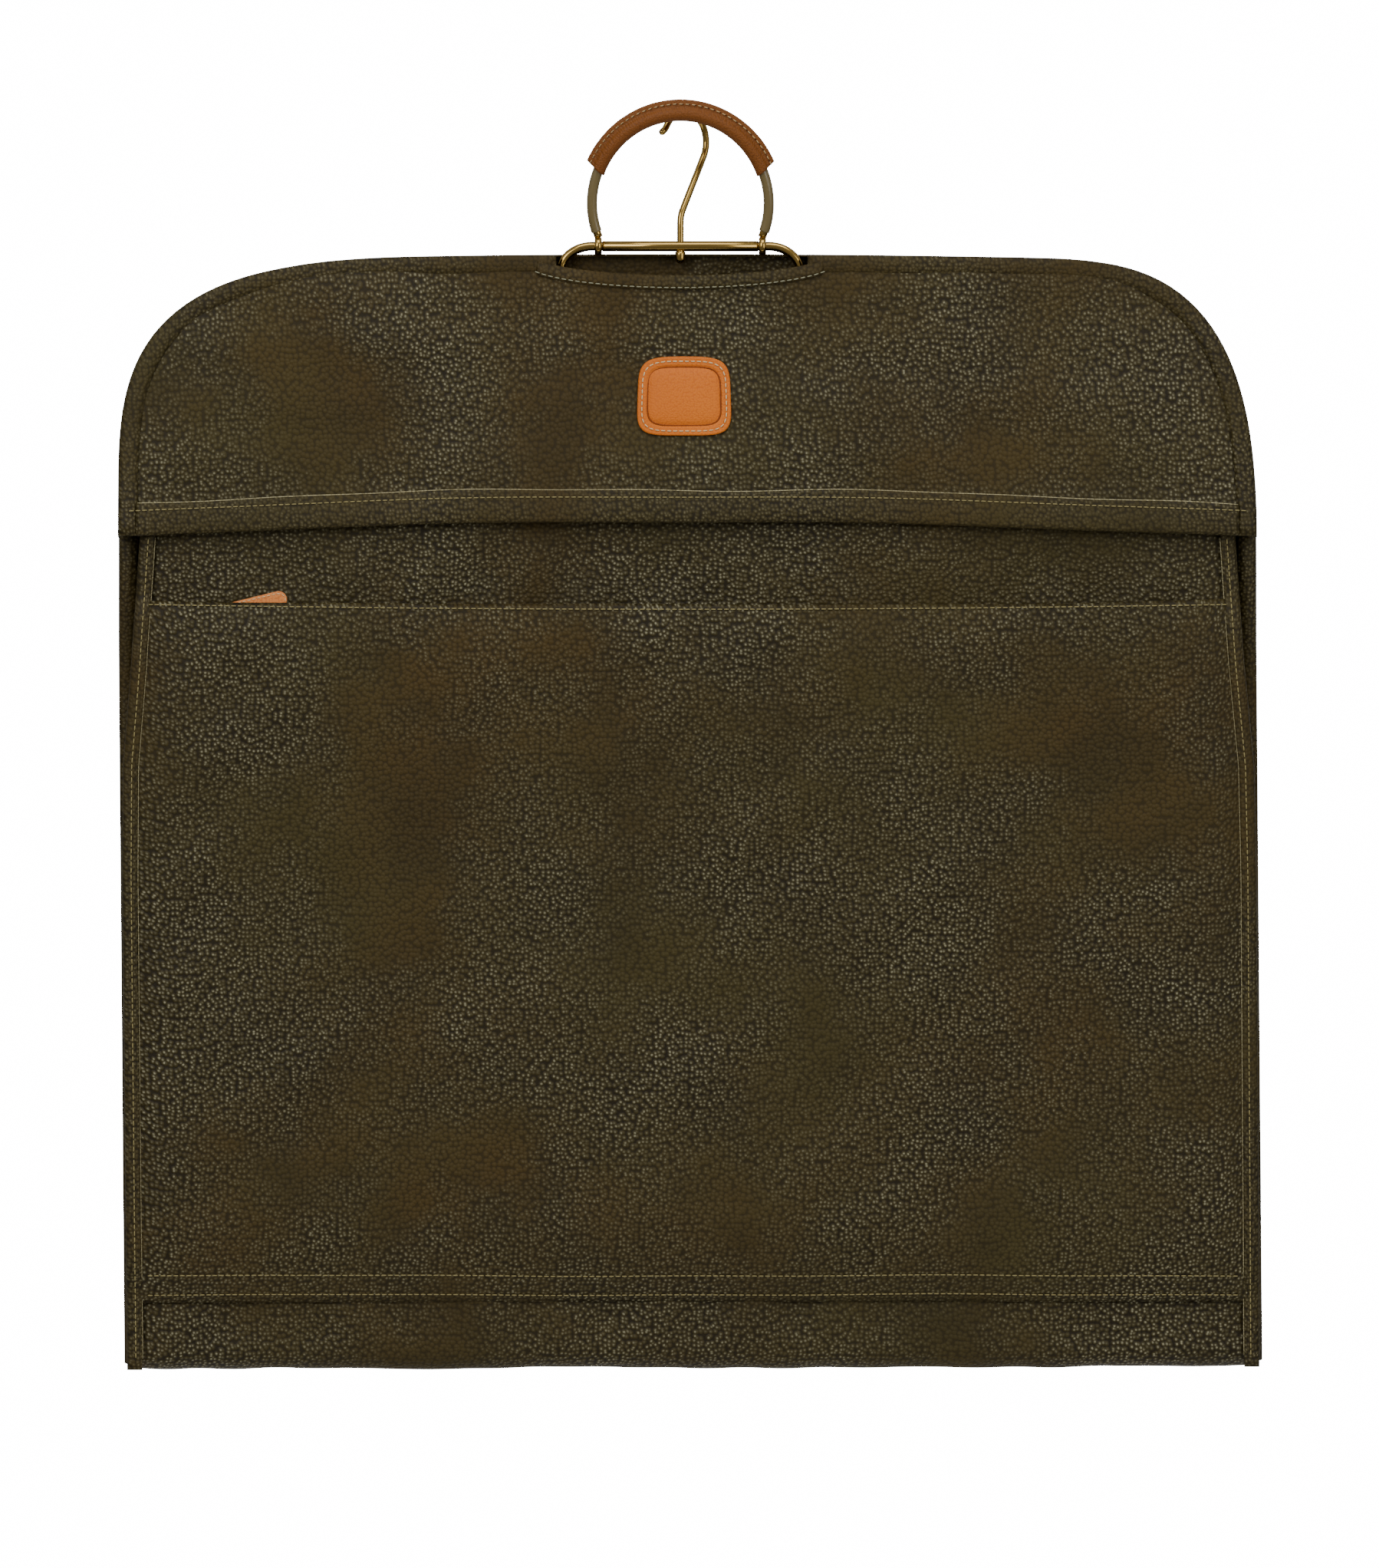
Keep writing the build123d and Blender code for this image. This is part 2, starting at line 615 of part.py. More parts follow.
ZIP_DROP = 6.0          # zip's middle below the pocket's top edge
zip_tilt = radians(18)
pocket_zip_z = POCKET_TOP - ZIP_DROP
pocket_zip_y = OUTER_Y - 3.2
zip_half = LOWER_END_W / 2 - EDGE - 1
pocket_zip_plane = Plane(
    origin=(0, pocket_zip_y, pocket_zip_z),
    x_dir=(1, 0, 0),
    z_dir=(0, -cos(zip_tilt), sin(zip_tilt)),
)
for side, word in ((1, "upper"), (-1, "lower")):
    with BuildPart() as pocket_tape:
        with BuildSketch(pocket_zip_plane.offset(-TAPE_T / 2)):
            with Locations((0, side * (CHAIN_OUT + 30) / 2)):
                Rectangle(2 * zip_half, 30 - CHAIN_OUT)
        extrude(amount=TAPE_T)
        with BuildSketch(Plane.YZ.offset(-BODY_W)):
            with Locations(((OUTER_Y + POCKET_Y) / 2, pocket_zip_z)):
                Rectangle(POCKET_DEPTH, 80)
        extrude(amount=2 * BODY_W, mode=Mode.INTERSECT)
    save(pocket_tape, f"pocket_tape_{word}")

    with BuildPart() as pocket_chain:
        with BuildSketch(pocket_zip_plane.offset(-CHAIN_T / 2)):
            with Locations((0, side * (CHAIN_IN + CHAIN_OUT) / 2)):
                Rectangle(2 * zip_half, CHAIN_OUT - CHAIN_IN)
        extrude(amount=CHAIN_T)
    save(pocket_chain, f"pocket_chain_{word}")

PULL_LEN = 35.5
PULL_REST = radians(11.5)
STRAP_T = 1.8
slider_x = -(zip_half - 39.0)
strap_y = POCKET_Y + 0.9 + STRAP_T
with BuildPart() as pocket_slider:
    here = Plane(
        origin=(slider_x, pocket_zip_y, pocket_zip_z),
        x_dir=(1, 0, 0),
        z_dir=(0, -cos(zip_tilt), sin(zip_tilt)),
    )
    slider_body(here, True)
    with BuildSketch(face_plane(pocket_zip_y - plate_in - 0.3)):
        with Locations((slider_x, pocket_zip_z)):
            Circle(PIN_D / 2)
    extrude(amount=pocket_zip_y - plate_in - 0.3 - (strap_y - STRAP_T - 0.3))
save(pocket_slider, "pocket_slider")

with BuildPart() as pocket_pull:
    strap_plane = Plane(
        origin=(slider_x, strap_y, pocket_zip_z),
        x_dir=(cos(PULL_REST), 0, sin(PULL_REST)),
        z_dir=(0, -1, 0),
    )
    with BuildSketch(strap_plane):
        Circle(3.0)
        with Locations((PULL_LEN, 0)):
            Circle(4.5)
        make_hull()
        Circle(PIN_D / 2 + SHAFT_FIT, mode=Mode.SUBTRACT)
    extrude(amount=STRAP_T)
save(pocket_pull, "pocket_pull")
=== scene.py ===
import math

import bmesh
import bpy
import numpy as np
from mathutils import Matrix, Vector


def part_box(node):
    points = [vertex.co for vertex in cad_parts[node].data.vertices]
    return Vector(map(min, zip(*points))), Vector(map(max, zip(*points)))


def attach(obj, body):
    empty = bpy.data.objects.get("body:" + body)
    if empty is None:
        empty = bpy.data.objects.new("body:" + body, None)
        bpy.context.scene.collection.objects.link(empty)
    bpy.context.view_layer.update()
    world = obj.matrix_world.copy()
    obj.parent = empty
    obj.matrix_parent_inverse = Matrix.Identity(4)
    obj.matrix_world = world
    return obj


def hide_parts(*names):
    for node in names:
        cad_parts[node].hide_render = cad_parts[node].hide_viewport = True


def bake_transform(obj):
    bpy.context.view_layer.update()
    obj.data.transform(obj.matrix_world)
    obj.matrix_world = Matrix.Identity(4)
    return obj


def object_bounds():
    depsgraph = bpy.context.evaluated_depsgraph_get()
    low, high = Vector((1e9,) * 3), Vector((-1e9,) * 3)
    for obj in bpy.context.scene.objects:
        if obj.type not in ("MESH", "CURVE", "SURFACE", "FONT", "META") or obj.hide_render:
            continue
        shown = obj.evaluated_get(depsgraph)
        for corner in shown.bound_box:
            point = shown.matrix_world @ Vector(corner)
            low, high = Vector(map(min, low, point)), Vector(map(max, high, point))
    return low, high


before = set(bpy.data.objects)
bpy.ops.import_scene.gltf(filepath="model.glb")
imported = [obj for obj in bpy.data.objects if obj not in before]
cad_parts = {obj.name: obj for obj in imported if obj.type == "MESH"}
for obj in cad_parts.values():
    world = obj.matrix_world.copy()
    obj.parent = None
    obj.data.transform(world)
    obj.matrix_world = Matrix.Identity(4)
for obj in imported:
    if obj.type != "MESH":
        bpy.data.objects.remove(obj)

cad_low, cad_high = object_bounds()
cad_low, cad_high = tuple(cad_low), tuple(cad_high)

# Outer skin: one long piece of pebbled leather that runs down the back, round the
# bottom fold and up the front, where its end is tucked behind the yoke's hem.
# Cut flat, creased at the fold, its long edges caught in folded bindings.
back_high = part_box("back_panel")[1]
hem_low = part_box("yoke_hem")[0]
front_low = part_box("lower_outer")[0]
TOP = back_high[2] + 0.0008
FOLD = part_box("fold_skin_back")[0][2] - 0.0019
HALF = back_high[0] + 0.0022
SIDE = 0.0038
BACK_Y = back_high[1]
FRONT_Y = front_low[1]
HEM_Z = hem_low[2]


def noise(x, z, size, seed):
    """Soft seeded waves, about one unit high, over the two given directions."""
    rng = np.random.default_rng(seed)
    total = np.zeros(np.broadcast(x, z).shape)
    for _ in range(7):
        way = rng.uniform(0, 2 * math.pi)
        rate = 2 * math.pi / size * rng.uniform(0.5, 1.7)
        total = total + np.sin((x * math.cos(way) + z * math.sin(way)) * rate + rng.uniform(0, 6.3))
    return total / 2.6


def settle(points):
    """The hang of the bag: it leans a little to one side and its left foot sags."""
    points = np.array(points, float)
    x, z = points[:, 0].copy(), points[:, 2].copy()
    points[:, 0] += 0.0030 * np.clip((-0.28 - z) / 0.37, 0, 1) * np.clip((np.abs(x) - 0.02) / 0.1, 0, 1)
    foot = np.clip((-0.60 - z) / 0.055, 0, 1)
    points[:, 2] -= foot * (0.0012 * np.clip((-x - 0.02) / 0.2, 0, 1) + 0.0003 * np.sin(x * 38.0))
    return points


def make(name, points, faces, finish, smooth=True):
    """A closed mesh piece at the origin, normals outwards."""
    data = bpy.data.meshes.new(name)
    data.from_pydata([tuple(p) for p in settle(points)], [], [tuple(f) for f in faces])
    work = bmesh.new()
    work.from_mesh(data)
    bmesh.ops.remove_doubles(work, verts=work.verts, dist=1e-6)
    bmesh.ops.recalc_face_normals(work, faces=work.faces)
    work.to_mesh(data)
    work.free()
    if smooth:
        data.shade_smooth()
    data.materials.append(finish)
    piece = bpy.data.objects.new(name.replace(" ", "_") + "_made", data)
    bpy.context.collection.objects.link(piece)
    return piece


def shell(name, front, rear, finish):
    """Closed sheet from two matching grids of points, joined round the rim."""
    rows, cols = front.shape[:2]
    count = rows * cols
    points = np.concatenate([front.reshape(-1, 3), rear.reshape(-1, 3)])
    at = np.arange(count).reshape(rows, cols)
    quads = np.stack([at[:-1, :-1], at[:-1, 1:], at[1:, 1:], at[1:, :-1]], -1).reshape(-1, 4)
    rim = list(at[0, :]) + list(at[1:, -1]) + list(at[-1, -2::-1]) + list(at[-2:0:-1, 0])
    faces = [tuple(q) for q in quads] + [tuple(q[::-1] + count) for q in quads]
    for a, b in zip(rim, rim[1:] + rim[:1]):
        faces.append((b, a, a + count, b + count))
    return make(name, points, faces, finish)


def frames(path, out):
    """Tangent, inward and outward directions along a path."""
    path = np.asarray(path, float)
    way = np.gradient(path, axis=0)
    way /= np.linalg.norm(way, axis=1)[:, None]
    out = np.broadcast_to(np.asarray(out, float), path.shape)
    inward = np.cross(way, out)
    inward /= np.linalg.norm(inward, axis=1)[:, None]
    return path, way, inward, np.cross(inward, way)


def sweep(name, path, profile, finish, out=(0, -1, 0), closed=False):
    """Strip with a closed section carried along a path; section is (inward, outward)."""
    path, _, inward, outward = frames(path, out)
    profile = np.asarray(profile, float)
    rings = path[:, None] + inward[:, None] * profile[None, :, :1]
    rings = rings + outward[:, None] * profile[None, :, 1:]
    n, m = rings.shape[:2]
    faces = []
    for i in range(n if closed else n - 1):
        j = (i + 1) % n
        for k in range(m):
            l = (k + 1) % m
            faces.append((i * m + k, i * m + l, j * m + l, j * m + k))
    if not closed:
        faces.append(tuple(range(m)))
        faces.append(tuple((n - 1) * m + k for k in range(m - 1, -1, -1)))
    return make(name, rings.reshape(-1, 3), faces, finish)


def tube(name, path, radius, finish, sides=20, out=(0, -1, 0), closed=False):
    """Round wire or cord along a path."""
    turn = np.linspace(0, 2 * math.pi, sides, endpoint=False)
    ring = np.stack([np.cos(turn), np.sin(turn)], -1) * radius
    return sweep(name, path, ring, finish, out, closed)


def resample(path, step):
    """The same path with evenly spaced points."""
    path = np.asarray(path, float)
    run = np.concatenate([[0], np.cumsum(np.linalg.norm(np.diff(path, axis=0), axis=1))])
    at = np.linspace(0, run[-1], max(2, int(round(run[-1] / step)) + 1))
    return np.stack([np.interp(at, run, path[:, k]) for k in range(3)], -1)


def leather(name, dark, pebble, warm, painted_shine=None, grain=430.0, relief=0.55, gloss=(0.50, 0.68)):
    """Pebbled leather: raised pebbles over grooves darkened by painted shade, patches of gloss and of
    matt, and painted highlights on the pebble tops in the gloss patches.
    """
    finish = bpy.data.materials.new(name)
    finish.use_nodes = True
    tree = finish.node_tree
    new, link = tree.nodes.new, tree.links.new
    shader = tree.nodes["Principled BSDF"]
    place = new("ShaderNodeTexCoord").outputs["Object"]

    def noise_at(scale, detail, rough=0.5):
        node = new("ShaderNodeTexNoise")
        node.inputs["Scale"].default_value = scale
        node.inputs["Detail"].default_value = detail
        node.inputs["Roughness"].default_value = rough
        link(place, node.inputs["Vector"])
        return node

    def span(source, low, high, to_low, to_high):
        node = new("ShaderNodeMapRange")
        node.inputs["From Min"].default_value = low
        node.inputs["From Max"].default_value = high
        node.inputs["To Min"].default_value = to_low
        node.inputs["To Max"].default_value = to_high
        link(source, node.inputs["Value"])
        return node.outputs["Result"]

    def blend_colour(share, first, second):
        node = new("ShaderNodeMix")
        node.data_type = "RGBA"
        link(share, node.inputs["Factor"])
        for value, key in ((first, "A"), (second, "B")):
            socket = [s for s in node.inputs if s.name == key and s.type == "RGBA"][0]
            if isinstance(value, tuple):
                socket.default_value = (*value, 1)
            else:
                link(value, socket)
        return [s for s in node.outputs if s.type == "RGBA"][0]

    def times(first, second, operation="MULTIPLY"):
        node = new("ShaderNodeMath")
        node.operation = operation
        for value, socket in zip((first, second), node.inputs):
            if isinstance(value, float):
                socket.default_value = value
            else:
                link(value, socket)
        return node.outputs[0]

    parts = new("ShaderNodeSeparateXYZ")
    link(place, parts.inputs[0])
    slant, fall = times(parts.outputs["Y"], 0.5), times(parts.outputs["Y"], -0.8)
    spread = new("ShaderNodeCombineXYZ")
    link(times(parts.outputs["X"], slant, "ADD"), spread.inputs[0])
    link(times(parts.outputs["Z"], fall, "ADD"), spread.inputs[1])
    shifted = new("ShaderNodeVectorMath")
    shifted.operation = "MULTIPLY_ADD"
    link(noise_at(grain * 0.8, 2).outputs["Color"], shifted.inputs[0])
    shifted.inputs[1].default_value = (0.35 / grain, 0.35 / grain, 0.0)
    link(spread.outputs[0], shifted.inputs[2])
    cells = new("ShaderNodeTexVoronoi")
    cells.voronoi_dimensions = "2D"
    cells.inputs["Scale"].default_value = grain
    cells.inputs["Randomness"].default_value = 0.8
    link(shifted.outputs[0], cells.inputs["Vector"])
    pebbles = span(cells.outputs["Distance"], 0.10, 0.66, 1.0, 0.0)
    fine = noise_at(grain * 3.2, 3).outputs["Fac"]
    matt = span(noise_at(9.5, 5, 0.6).outputs["Fac"], 0.36, 0.60, 0.0, 1.0)
    broad = span(noise_at(5.5, 3, 0.55).outputs["Fac"], 0.38, 0.62, 0.0, 1.0)
    highlight_strength = span(noise_at(27.0, 3, 0.6).outputs["Fac"], 0.30, 0.70, 0.78, 1.22)
    hide = blend_colour(broad, pebble, warm)
    if painted_shine:
        # In the gloss patches the base colour is made a little darker, to sit under the painted
        # highlights.
        deep = tuple(0.72 * a + 0.28 * b for a, b in zip(pebble, dark))
        hide = blend_colour(matt, deep, hide)
        stain = span(noise_at(21.0, 6, 0.62).outputs["Fac"], 0.42, 0.64, 0.0, 0.55)
        hide = blend_colour(stain, hide, tuple(0.45 * a + 0.55 * b for a, b in zip(pebble, dark)))
    # Painted shade: the grooves between the pebbles are darkened towards the dark colour, more in the
    # gloss patches than in the matt ones.
    groove_shade = span(pebbles, 0.05, 0.42, 1.0, 0.0)
    colour = blend_colour(times(groove_shade, span(matt, 0.0, 1.0, 0.92, 0.50)), hide, dark)
    # Painted highlight: the pebble tops are lightened towards the highlight colour in the gloss patches,
    # by a random amount for each pebble and patchily stronger or weaker.
    if painted_shine:
        own = new("ShaderNodeSeparateColor")
        link(cells.outputs["Color"], own.inputs[0])
        highlight_mask = times(span(pebbles, 0.58, 1.0, 0.0, 1.0), span(matt, 0.0, 1.0, 1.0, 0.05))
        highlight_mask = times(times(highlight_mask, span(own.outputs[0], 0.0, 1.0, 0.12, 1.0)), highlight_strength)
        colour = blend_colour(highlight_mask, colour, painted_shine)
    link(colour, shader.inputs["Base Color"])
    link(span(matt, 0.0, 1.0, gloss[0], gloss[1]), shader.inputs["Roughness"])
    depth = new("ShaderNodeMath")
    depth.operation = "MULTIPLY_ADD"
    link(fine, depth.inputs[0])
    depth.inputs[1].default_value = 0.14
    link(pebbles, depth.inputs[2])
    bump = new("ShaderNodeBump")
    bump.inputs["Strength"].default_value = relief
    bump.inputs["Distance"].default_value = 0.0007
    link(depth.outputs[0], bump.inputs["Height"])
    link(bump.outputs["Normal"], shader.inputs["Normal"])
    shader.inputs["Specular IOR Level"].default_value = 0.16
    return finish


# Leather colours: the dark that the painted groove shade runs to, and the painted highlight colour for
# the pebble tops; then the olive and the brown of the leather.
DARK, PAINTED_SHINE = (0.009, 0.0056, 0.0008), (0.20, 0.185, 0.115)
OLIVE, BROWN = (0.040, 0.0300, 0.0066), (0.047, 0.0285, 0.0055)
SKIN = 0.0016
hide_leather = leather("bag leather", DARK, OLIVE, BROWN, PAINTED_SHINE)
# The binding leather's pebble tops carry a weaker painted highlight colour.
edge_leather = leather("binding leather", DARK, OLIVE, BROWN, (0.11, 0.095, 0.05), grain=500, relief=0.35)

# Outline of the bag: the two shoulders are rounded differently, and the top edge is
# drawn up in the middle. For each shoulder: its width, its height and its power.
SHOULDERS = {-1: (0.174, 0.125, 3.2), 1: (0.118, 0.165, 3.0)}


def half_width(z, side):
    """Half width of the bag at height z, round shoulders included."""
    wide, tall, power = SHOULDERS[side]
    up = np.clip((z - (TOP - tall)) / tall, 0, 1)
    return HALF - wide + wide * (1 - up**power) ** (1 / power)


def crown(x):
    """The top edge is drawn up a little in the middle, where the bag hangs."""
    return 0.0026 * np.clip(1 - ((x - SIDE) / 0.215) ** 2, 0, 1)


def edge_path(low, inset=0.0, steps=46):
    """Outline from the lower left, up and over the shoulders, to the lower right."""
    turn = np.linspace(0, math.pi / 2, steps)
    sides = []
    for side in (-1, 1):
        wide, tall, power = SHOULDERS[side]
        wide, tall = wide - inset, tall - inset
        x = HALF - inset - wide + wide * np.cos(turn) ** (2 / power)
        z = TOP - inset - tall + tall * np.sin(turn) ** (2 / power)
        sides.append(np.stack([side * x + SIDE, z], -1)[z > low + 0.001])
    left = np.concatenate([[[sides[0][0, 0], low]], sides[0]])
    right = np.concatenate([sides[1][::-1], [[sides[1][0, 0], low]]])
    flat = np.concatenate([left, right])
    path = resample(np.stack([flat[:, 0], np.zeros(len(flat)), flat[:, 1]], -1), 0.006)
    path[:, 2] += crown(path[:, 0]) * np.clip((path[:, 2] - TOP + 0.03) / 0.03, 0, 1)
    return path


def lower_half_width(z):
    """Half width of the lower half: drawn in towards its tucked end."""
    heights = [-0.66, -0.40, -0.343, -0.29, -0.22, -0.19]
    return np.interp(z, heights, [0.2966, 0.2970, 0.2962, 0.2915, 0.2868, 0.284])


def long_swell(x, z, near):
    """Soft unevenness of the long panel, none where it is sewn to its edges."""
    return (0.0011 * noise(x, z * 0.7, 0.16, 3) + 0.0006 * noise(x, z, 0.055, 4)) * near


# The skin is one grid of points: its path from the top of the back, round the fold
# and up to the tucked end, carried across the bag's width.
across = np.linspace(-1, 1, 150)
turn_s = np.sin(np.linspace(0, math.pi / 2, 30))[::-1]
back_z = np.concatenate([TOP - 0.11 + 0.11 * turn_s, np.linspace(TOP - 0.112, FOLD + 0.016, 76)])
bend = np.linspace(0, math.pi / 2, 8)[1:]
tuck_end = HEM_Z + 0.014
front_z = np.linspace(FOLD + 0.014, tuck_end, 84)
path_y = [BACK_Y] * len(back_z)
path_z = list(back_z)
path_n = [(1.0, 0.0)] * len(back_z)
for a in bend:
    path_y.append(BACK_Y - 0.012 + 0.012 * math.cos(a))
    path_z.append(FOLD + 0.012 - 0.012 * math.sin(a))
    path_n.append((math.cos(a), -math.sin(a)))
for a in bend:
    path_y.append(FRONT_Y + 0.010 - 0.010 * math.sin(a))
    path_z.append(FOLD + 0.010 - 0.010 * math.cos(a))
    path_n.append((-math.sin(a), -math.cos(a)))
path_y += [FRONT_Y] * len(front_z)
path_z += list(front_z)
path_n += [(-1.0, 0.0)] * len(front_z)
path_y, path_z, path_n = np.array(path_y), np.array(path_z), np.array(path_n)
is_back = np.arange(len(path_y)) < len(back_z)
is_front = np.arange(len(path_y)) >= len(back_z) + 14
left_w = np.where(is_back, half_width(path_z, -1), lower_half_width(path_z) + 0.0004)
right_w = np.where(is_back, half_width(path_z, 1), lower_half_width(path_z) + 0.0004)
x = np.where(across[None] < 0, across[None] * left_w[:, None], across[None] * right_w[:, None]) + SIDE
edge_room = np.where(x < SIDE, left_w[:, None], right_w[:, None]) - np.abs(x - SIDE)
near = np.clip(edge_room / 0.03, 0, 1)
lift = long_swell(x, path_z[:, None], near) - 0.0030 * (1 - near) ** 2
lift = np.where(is_back[:, None] | is_front[:, None], lift, lift * 0.5)
y = path_y[:, None] + lift * path_n[:, None, 0]
z = path_z[:, None] + lift * path_n[:, None, 1] + 0 * x
z = z + crown(x) * is_back[:, None] * np.clip((path_z[:, None] - TOP + 0.03) / 0.03, 0, 1)
outside = np.stack([x, y, z], -1)
thick = np.where(is_back | is_front, SKIN, 0.0009)[:, None]
inside = np.stack([x, y - thick * path_n[:, None, 0], z - thick * path_n[:, None, 1]], -1)
skin = shell("outer skin", outside, inside, hide_leather)
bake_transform(skin)
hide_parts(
    "back_panel", "back_lining", "fold_skin_back", "fold_skin_front", "lower_outer", "lower_lining"
)

# Yoke: the leather front of the shoulders. It bulges forwards over the tucked end
# and its hem is bound. It is cut with a shallow neckline and turned in there.
hem_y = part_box("yoke")[0][1]


def yoke_depth(x, z):
    """Depth of the yoke's face: slopes forwards towards the hem, softly uneven."""
    down = np.clip((TOP - z) / (TOP - HEM_Z), 0, 1.05)
    flat = -0.010 + (hem_y + 0.010) * down
    swell = 0.0011 * noise(x, z, 0.15, 11) + 0.0005 * noise(x, z, 0.05, 12)
    return flat - swell * np.clip((0.295 - np.abs(x - SIDE)) / 0.03, 0, 1)


def hem_line(x):
    """Height of the hem's lower edge: highest in the middle."""
    return HEM_Z + 0.0078 * (1 - ((x - SIDE) / HALF) ** 2) + 0.0005 * noise(x, 0 * x, 0.2, 13)


def neck_line(x):
    """How far the yoke's upper edge lies below the level of the shoulders."""
    return 0.0112 * np.clip(1 - (np.abs(x - SIDE + 0.004) / 0.079) ** 2, 0, 1) ** 0.6 - crown(x)


rows = np.sin(np.linspace(0, math.pi / 2, 74))
row_z = HEM_Z + (TOP - HEM_Z) * rows
wl, wr = half_width(row_z, -1), half_width(row_z, 1)
x = np.where(across[None] < 0, across[None] * wl[:, None], across[None] * wr[:, None]) * 0.9985 + SIDE
share = (row_z[:, None] - HEM_Z) / (TOP - HEM_Z)
z = row_z[:, None] + (hem_line(x) - HEM_Z) * (1 - share) ** 2 - neck_line(x) * share**6
y = yoke_depth(x, z)
rim = np.minimum(np.where(x < SIDE, wl[:, None], wr[:, None]) - np.abs(x - SIDE), TOP - z)
y = y + 0.0022 * np.clip(1 - rim / 0.006, 0, 1) ** 2
yoke = shell("yoke panel", np.stack([x, y, z], -1), np.stack([x, y + SKIN, z], -1), hide_leather)
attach(yoke, "upper_half")
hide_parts("yoke", "neck_facing")

# Yoke hem: a strip of the same leather folded over the lower edge and stitched
# down, its upper edge left raw.
x = np.linspace(-0.2896, 0.2896, 160) + SIDE
band = []
folded = [(0.0, 0.0004), (0.04, 0.0016), (0.12, 0.0021), (0.5, 0.0020), (0.9, 0.0019)]
folded += [(0.985, 0.0017), (1.0, 0.0008)]
for share, out in folded:
    z = hem_line(x) - 0.0016 + share * (0.0172 + 0.0008 * noise(x, 0 * x, 0.12, 14))
    band.append(np.stack([x, yoke_depth(x, z) - out, z], -1))
band = np.array(band)
hem = shell("yoke hem", band, band + np.array([0, 0.0018, 0]) * np.ones((7, 1, 1)), edge_leather)
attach(hem, "upper_half")
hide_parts("yoke_hem")
x = np.linspace(-0.2890, 0.2890, 200) + SIDE
top = hem_line(x) - 0.0016 + 0.0172 + 0.0008 * noise(x, 0 * x, 0.12, 14)
raw_leather = leather("raw edge", (0.12, 0.10, 0.045), (0.34, 0.30, 0.17), (0.26, 0.22, 0.12), None, 700)
line = np.stack([x, yoke_depth(x, top) - 0.0012, top - 0.0001], -1)
raw = tube("hem raw edge", line, 0.00034, raw_leather, 6)
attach(raw, "upper_half")

# Neck facing: the yoke's edge at the neckline is turned over a narrow strip of thin
# leather, which is sewn along its foot.
x = np.linspace(-0.0790, 0.0710, 90) + SIDE
strip = []
turned = [(-0.0006, 0.0002), (-0.0007, 0.0012), (0.0004, 0.0016), (0.0040, 0.0015)]
turned += [(0.0066, 0.0013), (0.0070, 0.0002)]
for down, out in turned:
    z = TOP - neck_line(x) - down
    strip.append(np.stack([x, yoke_depth(x, z) - out, z], -1))
strip = np.array(strip)
facing = shell("neck facing", strip, strip + np.array([0, 0.0014, 0]) * np.ones((6, 1, 1)), edge_leather)
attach(facing, "upper_half")

# Yoke edge binding and shoulder gussets: a leather strip folded round the yoke's
# rim, and the side wall that joins the rim to the back.
rim_path = edge_path(HEM_Z - 0.001)
rim_path[:, 1] = yoke_depth(rim_path[:, 0], rim_path[:, 2])
opening = np.abs(rim_path[:, 0] - SIDE + 0.003) < 0.0630
for side, word in ((-1, "left"), (1, "right")):
    part = rim_path[((rim_path[:, 0] - SIDE) * side > 0) & ~(opening & (rim_path[:, 2] > TOP - 0.01))]
    lip = [(0.0099, 0.0), (0.0098, 0.0011), (0.006, 0.0016), (0.002, 0.0014), (0.0003, 0.0006)]
    lip += [(-0.0006, -0.0006), (-0.0008, -0.004), (-0.0004, -0.0075), (0.0006, -0.0075)]
    lip += [(0.0008, -0.001), (0.0025, -0.0002)]
    binding = sweep(f"yoke binding {word}", part, lip, edge_leather)
    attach(binding, "upper_half")
    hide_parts(f"shoulder_binding_{word}")
    share = np.linspace(0, 1, 9)[:, None]
    wall_y = (part[None, :, 1] + 0.003) * (1 - share) + (BACK_Y - 0.003) * share
    inward = frames(part, (0, -1, 0))[2]
    bow = (0.0012 + 0.0022 * np.sin(share * math.pi))[..., None]
    grid = part[None] * np.array([1, 0, 1]) + inward[None] * bow
    grid[..., 1] = wall_y
    thick = inward[None] * 0.0014
    gusset = shell(f"shoulder gusset {word}", grid, grid + thick, hide_leather)
    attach(gusset, "upper_half")
    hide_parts(f"shoulder_gusset_{word}")

# Back binding: one folded strip of leather round the whole back, holding the side
# walls of the upper half to it.
back_path = edge_path(FOLD + 0.0036)


def back_swell(path):
    """How far the back swells under a path along its rim."""
    room = np.where(path[:, 0] < SIDE, half_width(path[:, 2], -1), half_width(path[:, 2], 1))
    return long_swell(path[:, 0], path[:, 2], np.clip((room - np.abs(path[:, 0] - SIDE)) / 0.03, 0, 1))


back_path[:, 1] = BACK_Y - 0.0020 + back_swell(back_path)
lip = [(0.0085, 0.0013), (0.0098, 0.0016), (0.004, 0.0018), (0.0012, 0.0017), (-0.0004, 0.0008)]
lip += [(-0.0009, -0.001), (-0.0009, -0.0055), (0.0002, -0.0055), (0.0004, 0.0011)]
back_binding = sweep("back binding", back_path[::-1], lip, edge_leather, out=(0, 1, 0))
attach(back_binding, "upper_half")
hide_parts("back_binding")

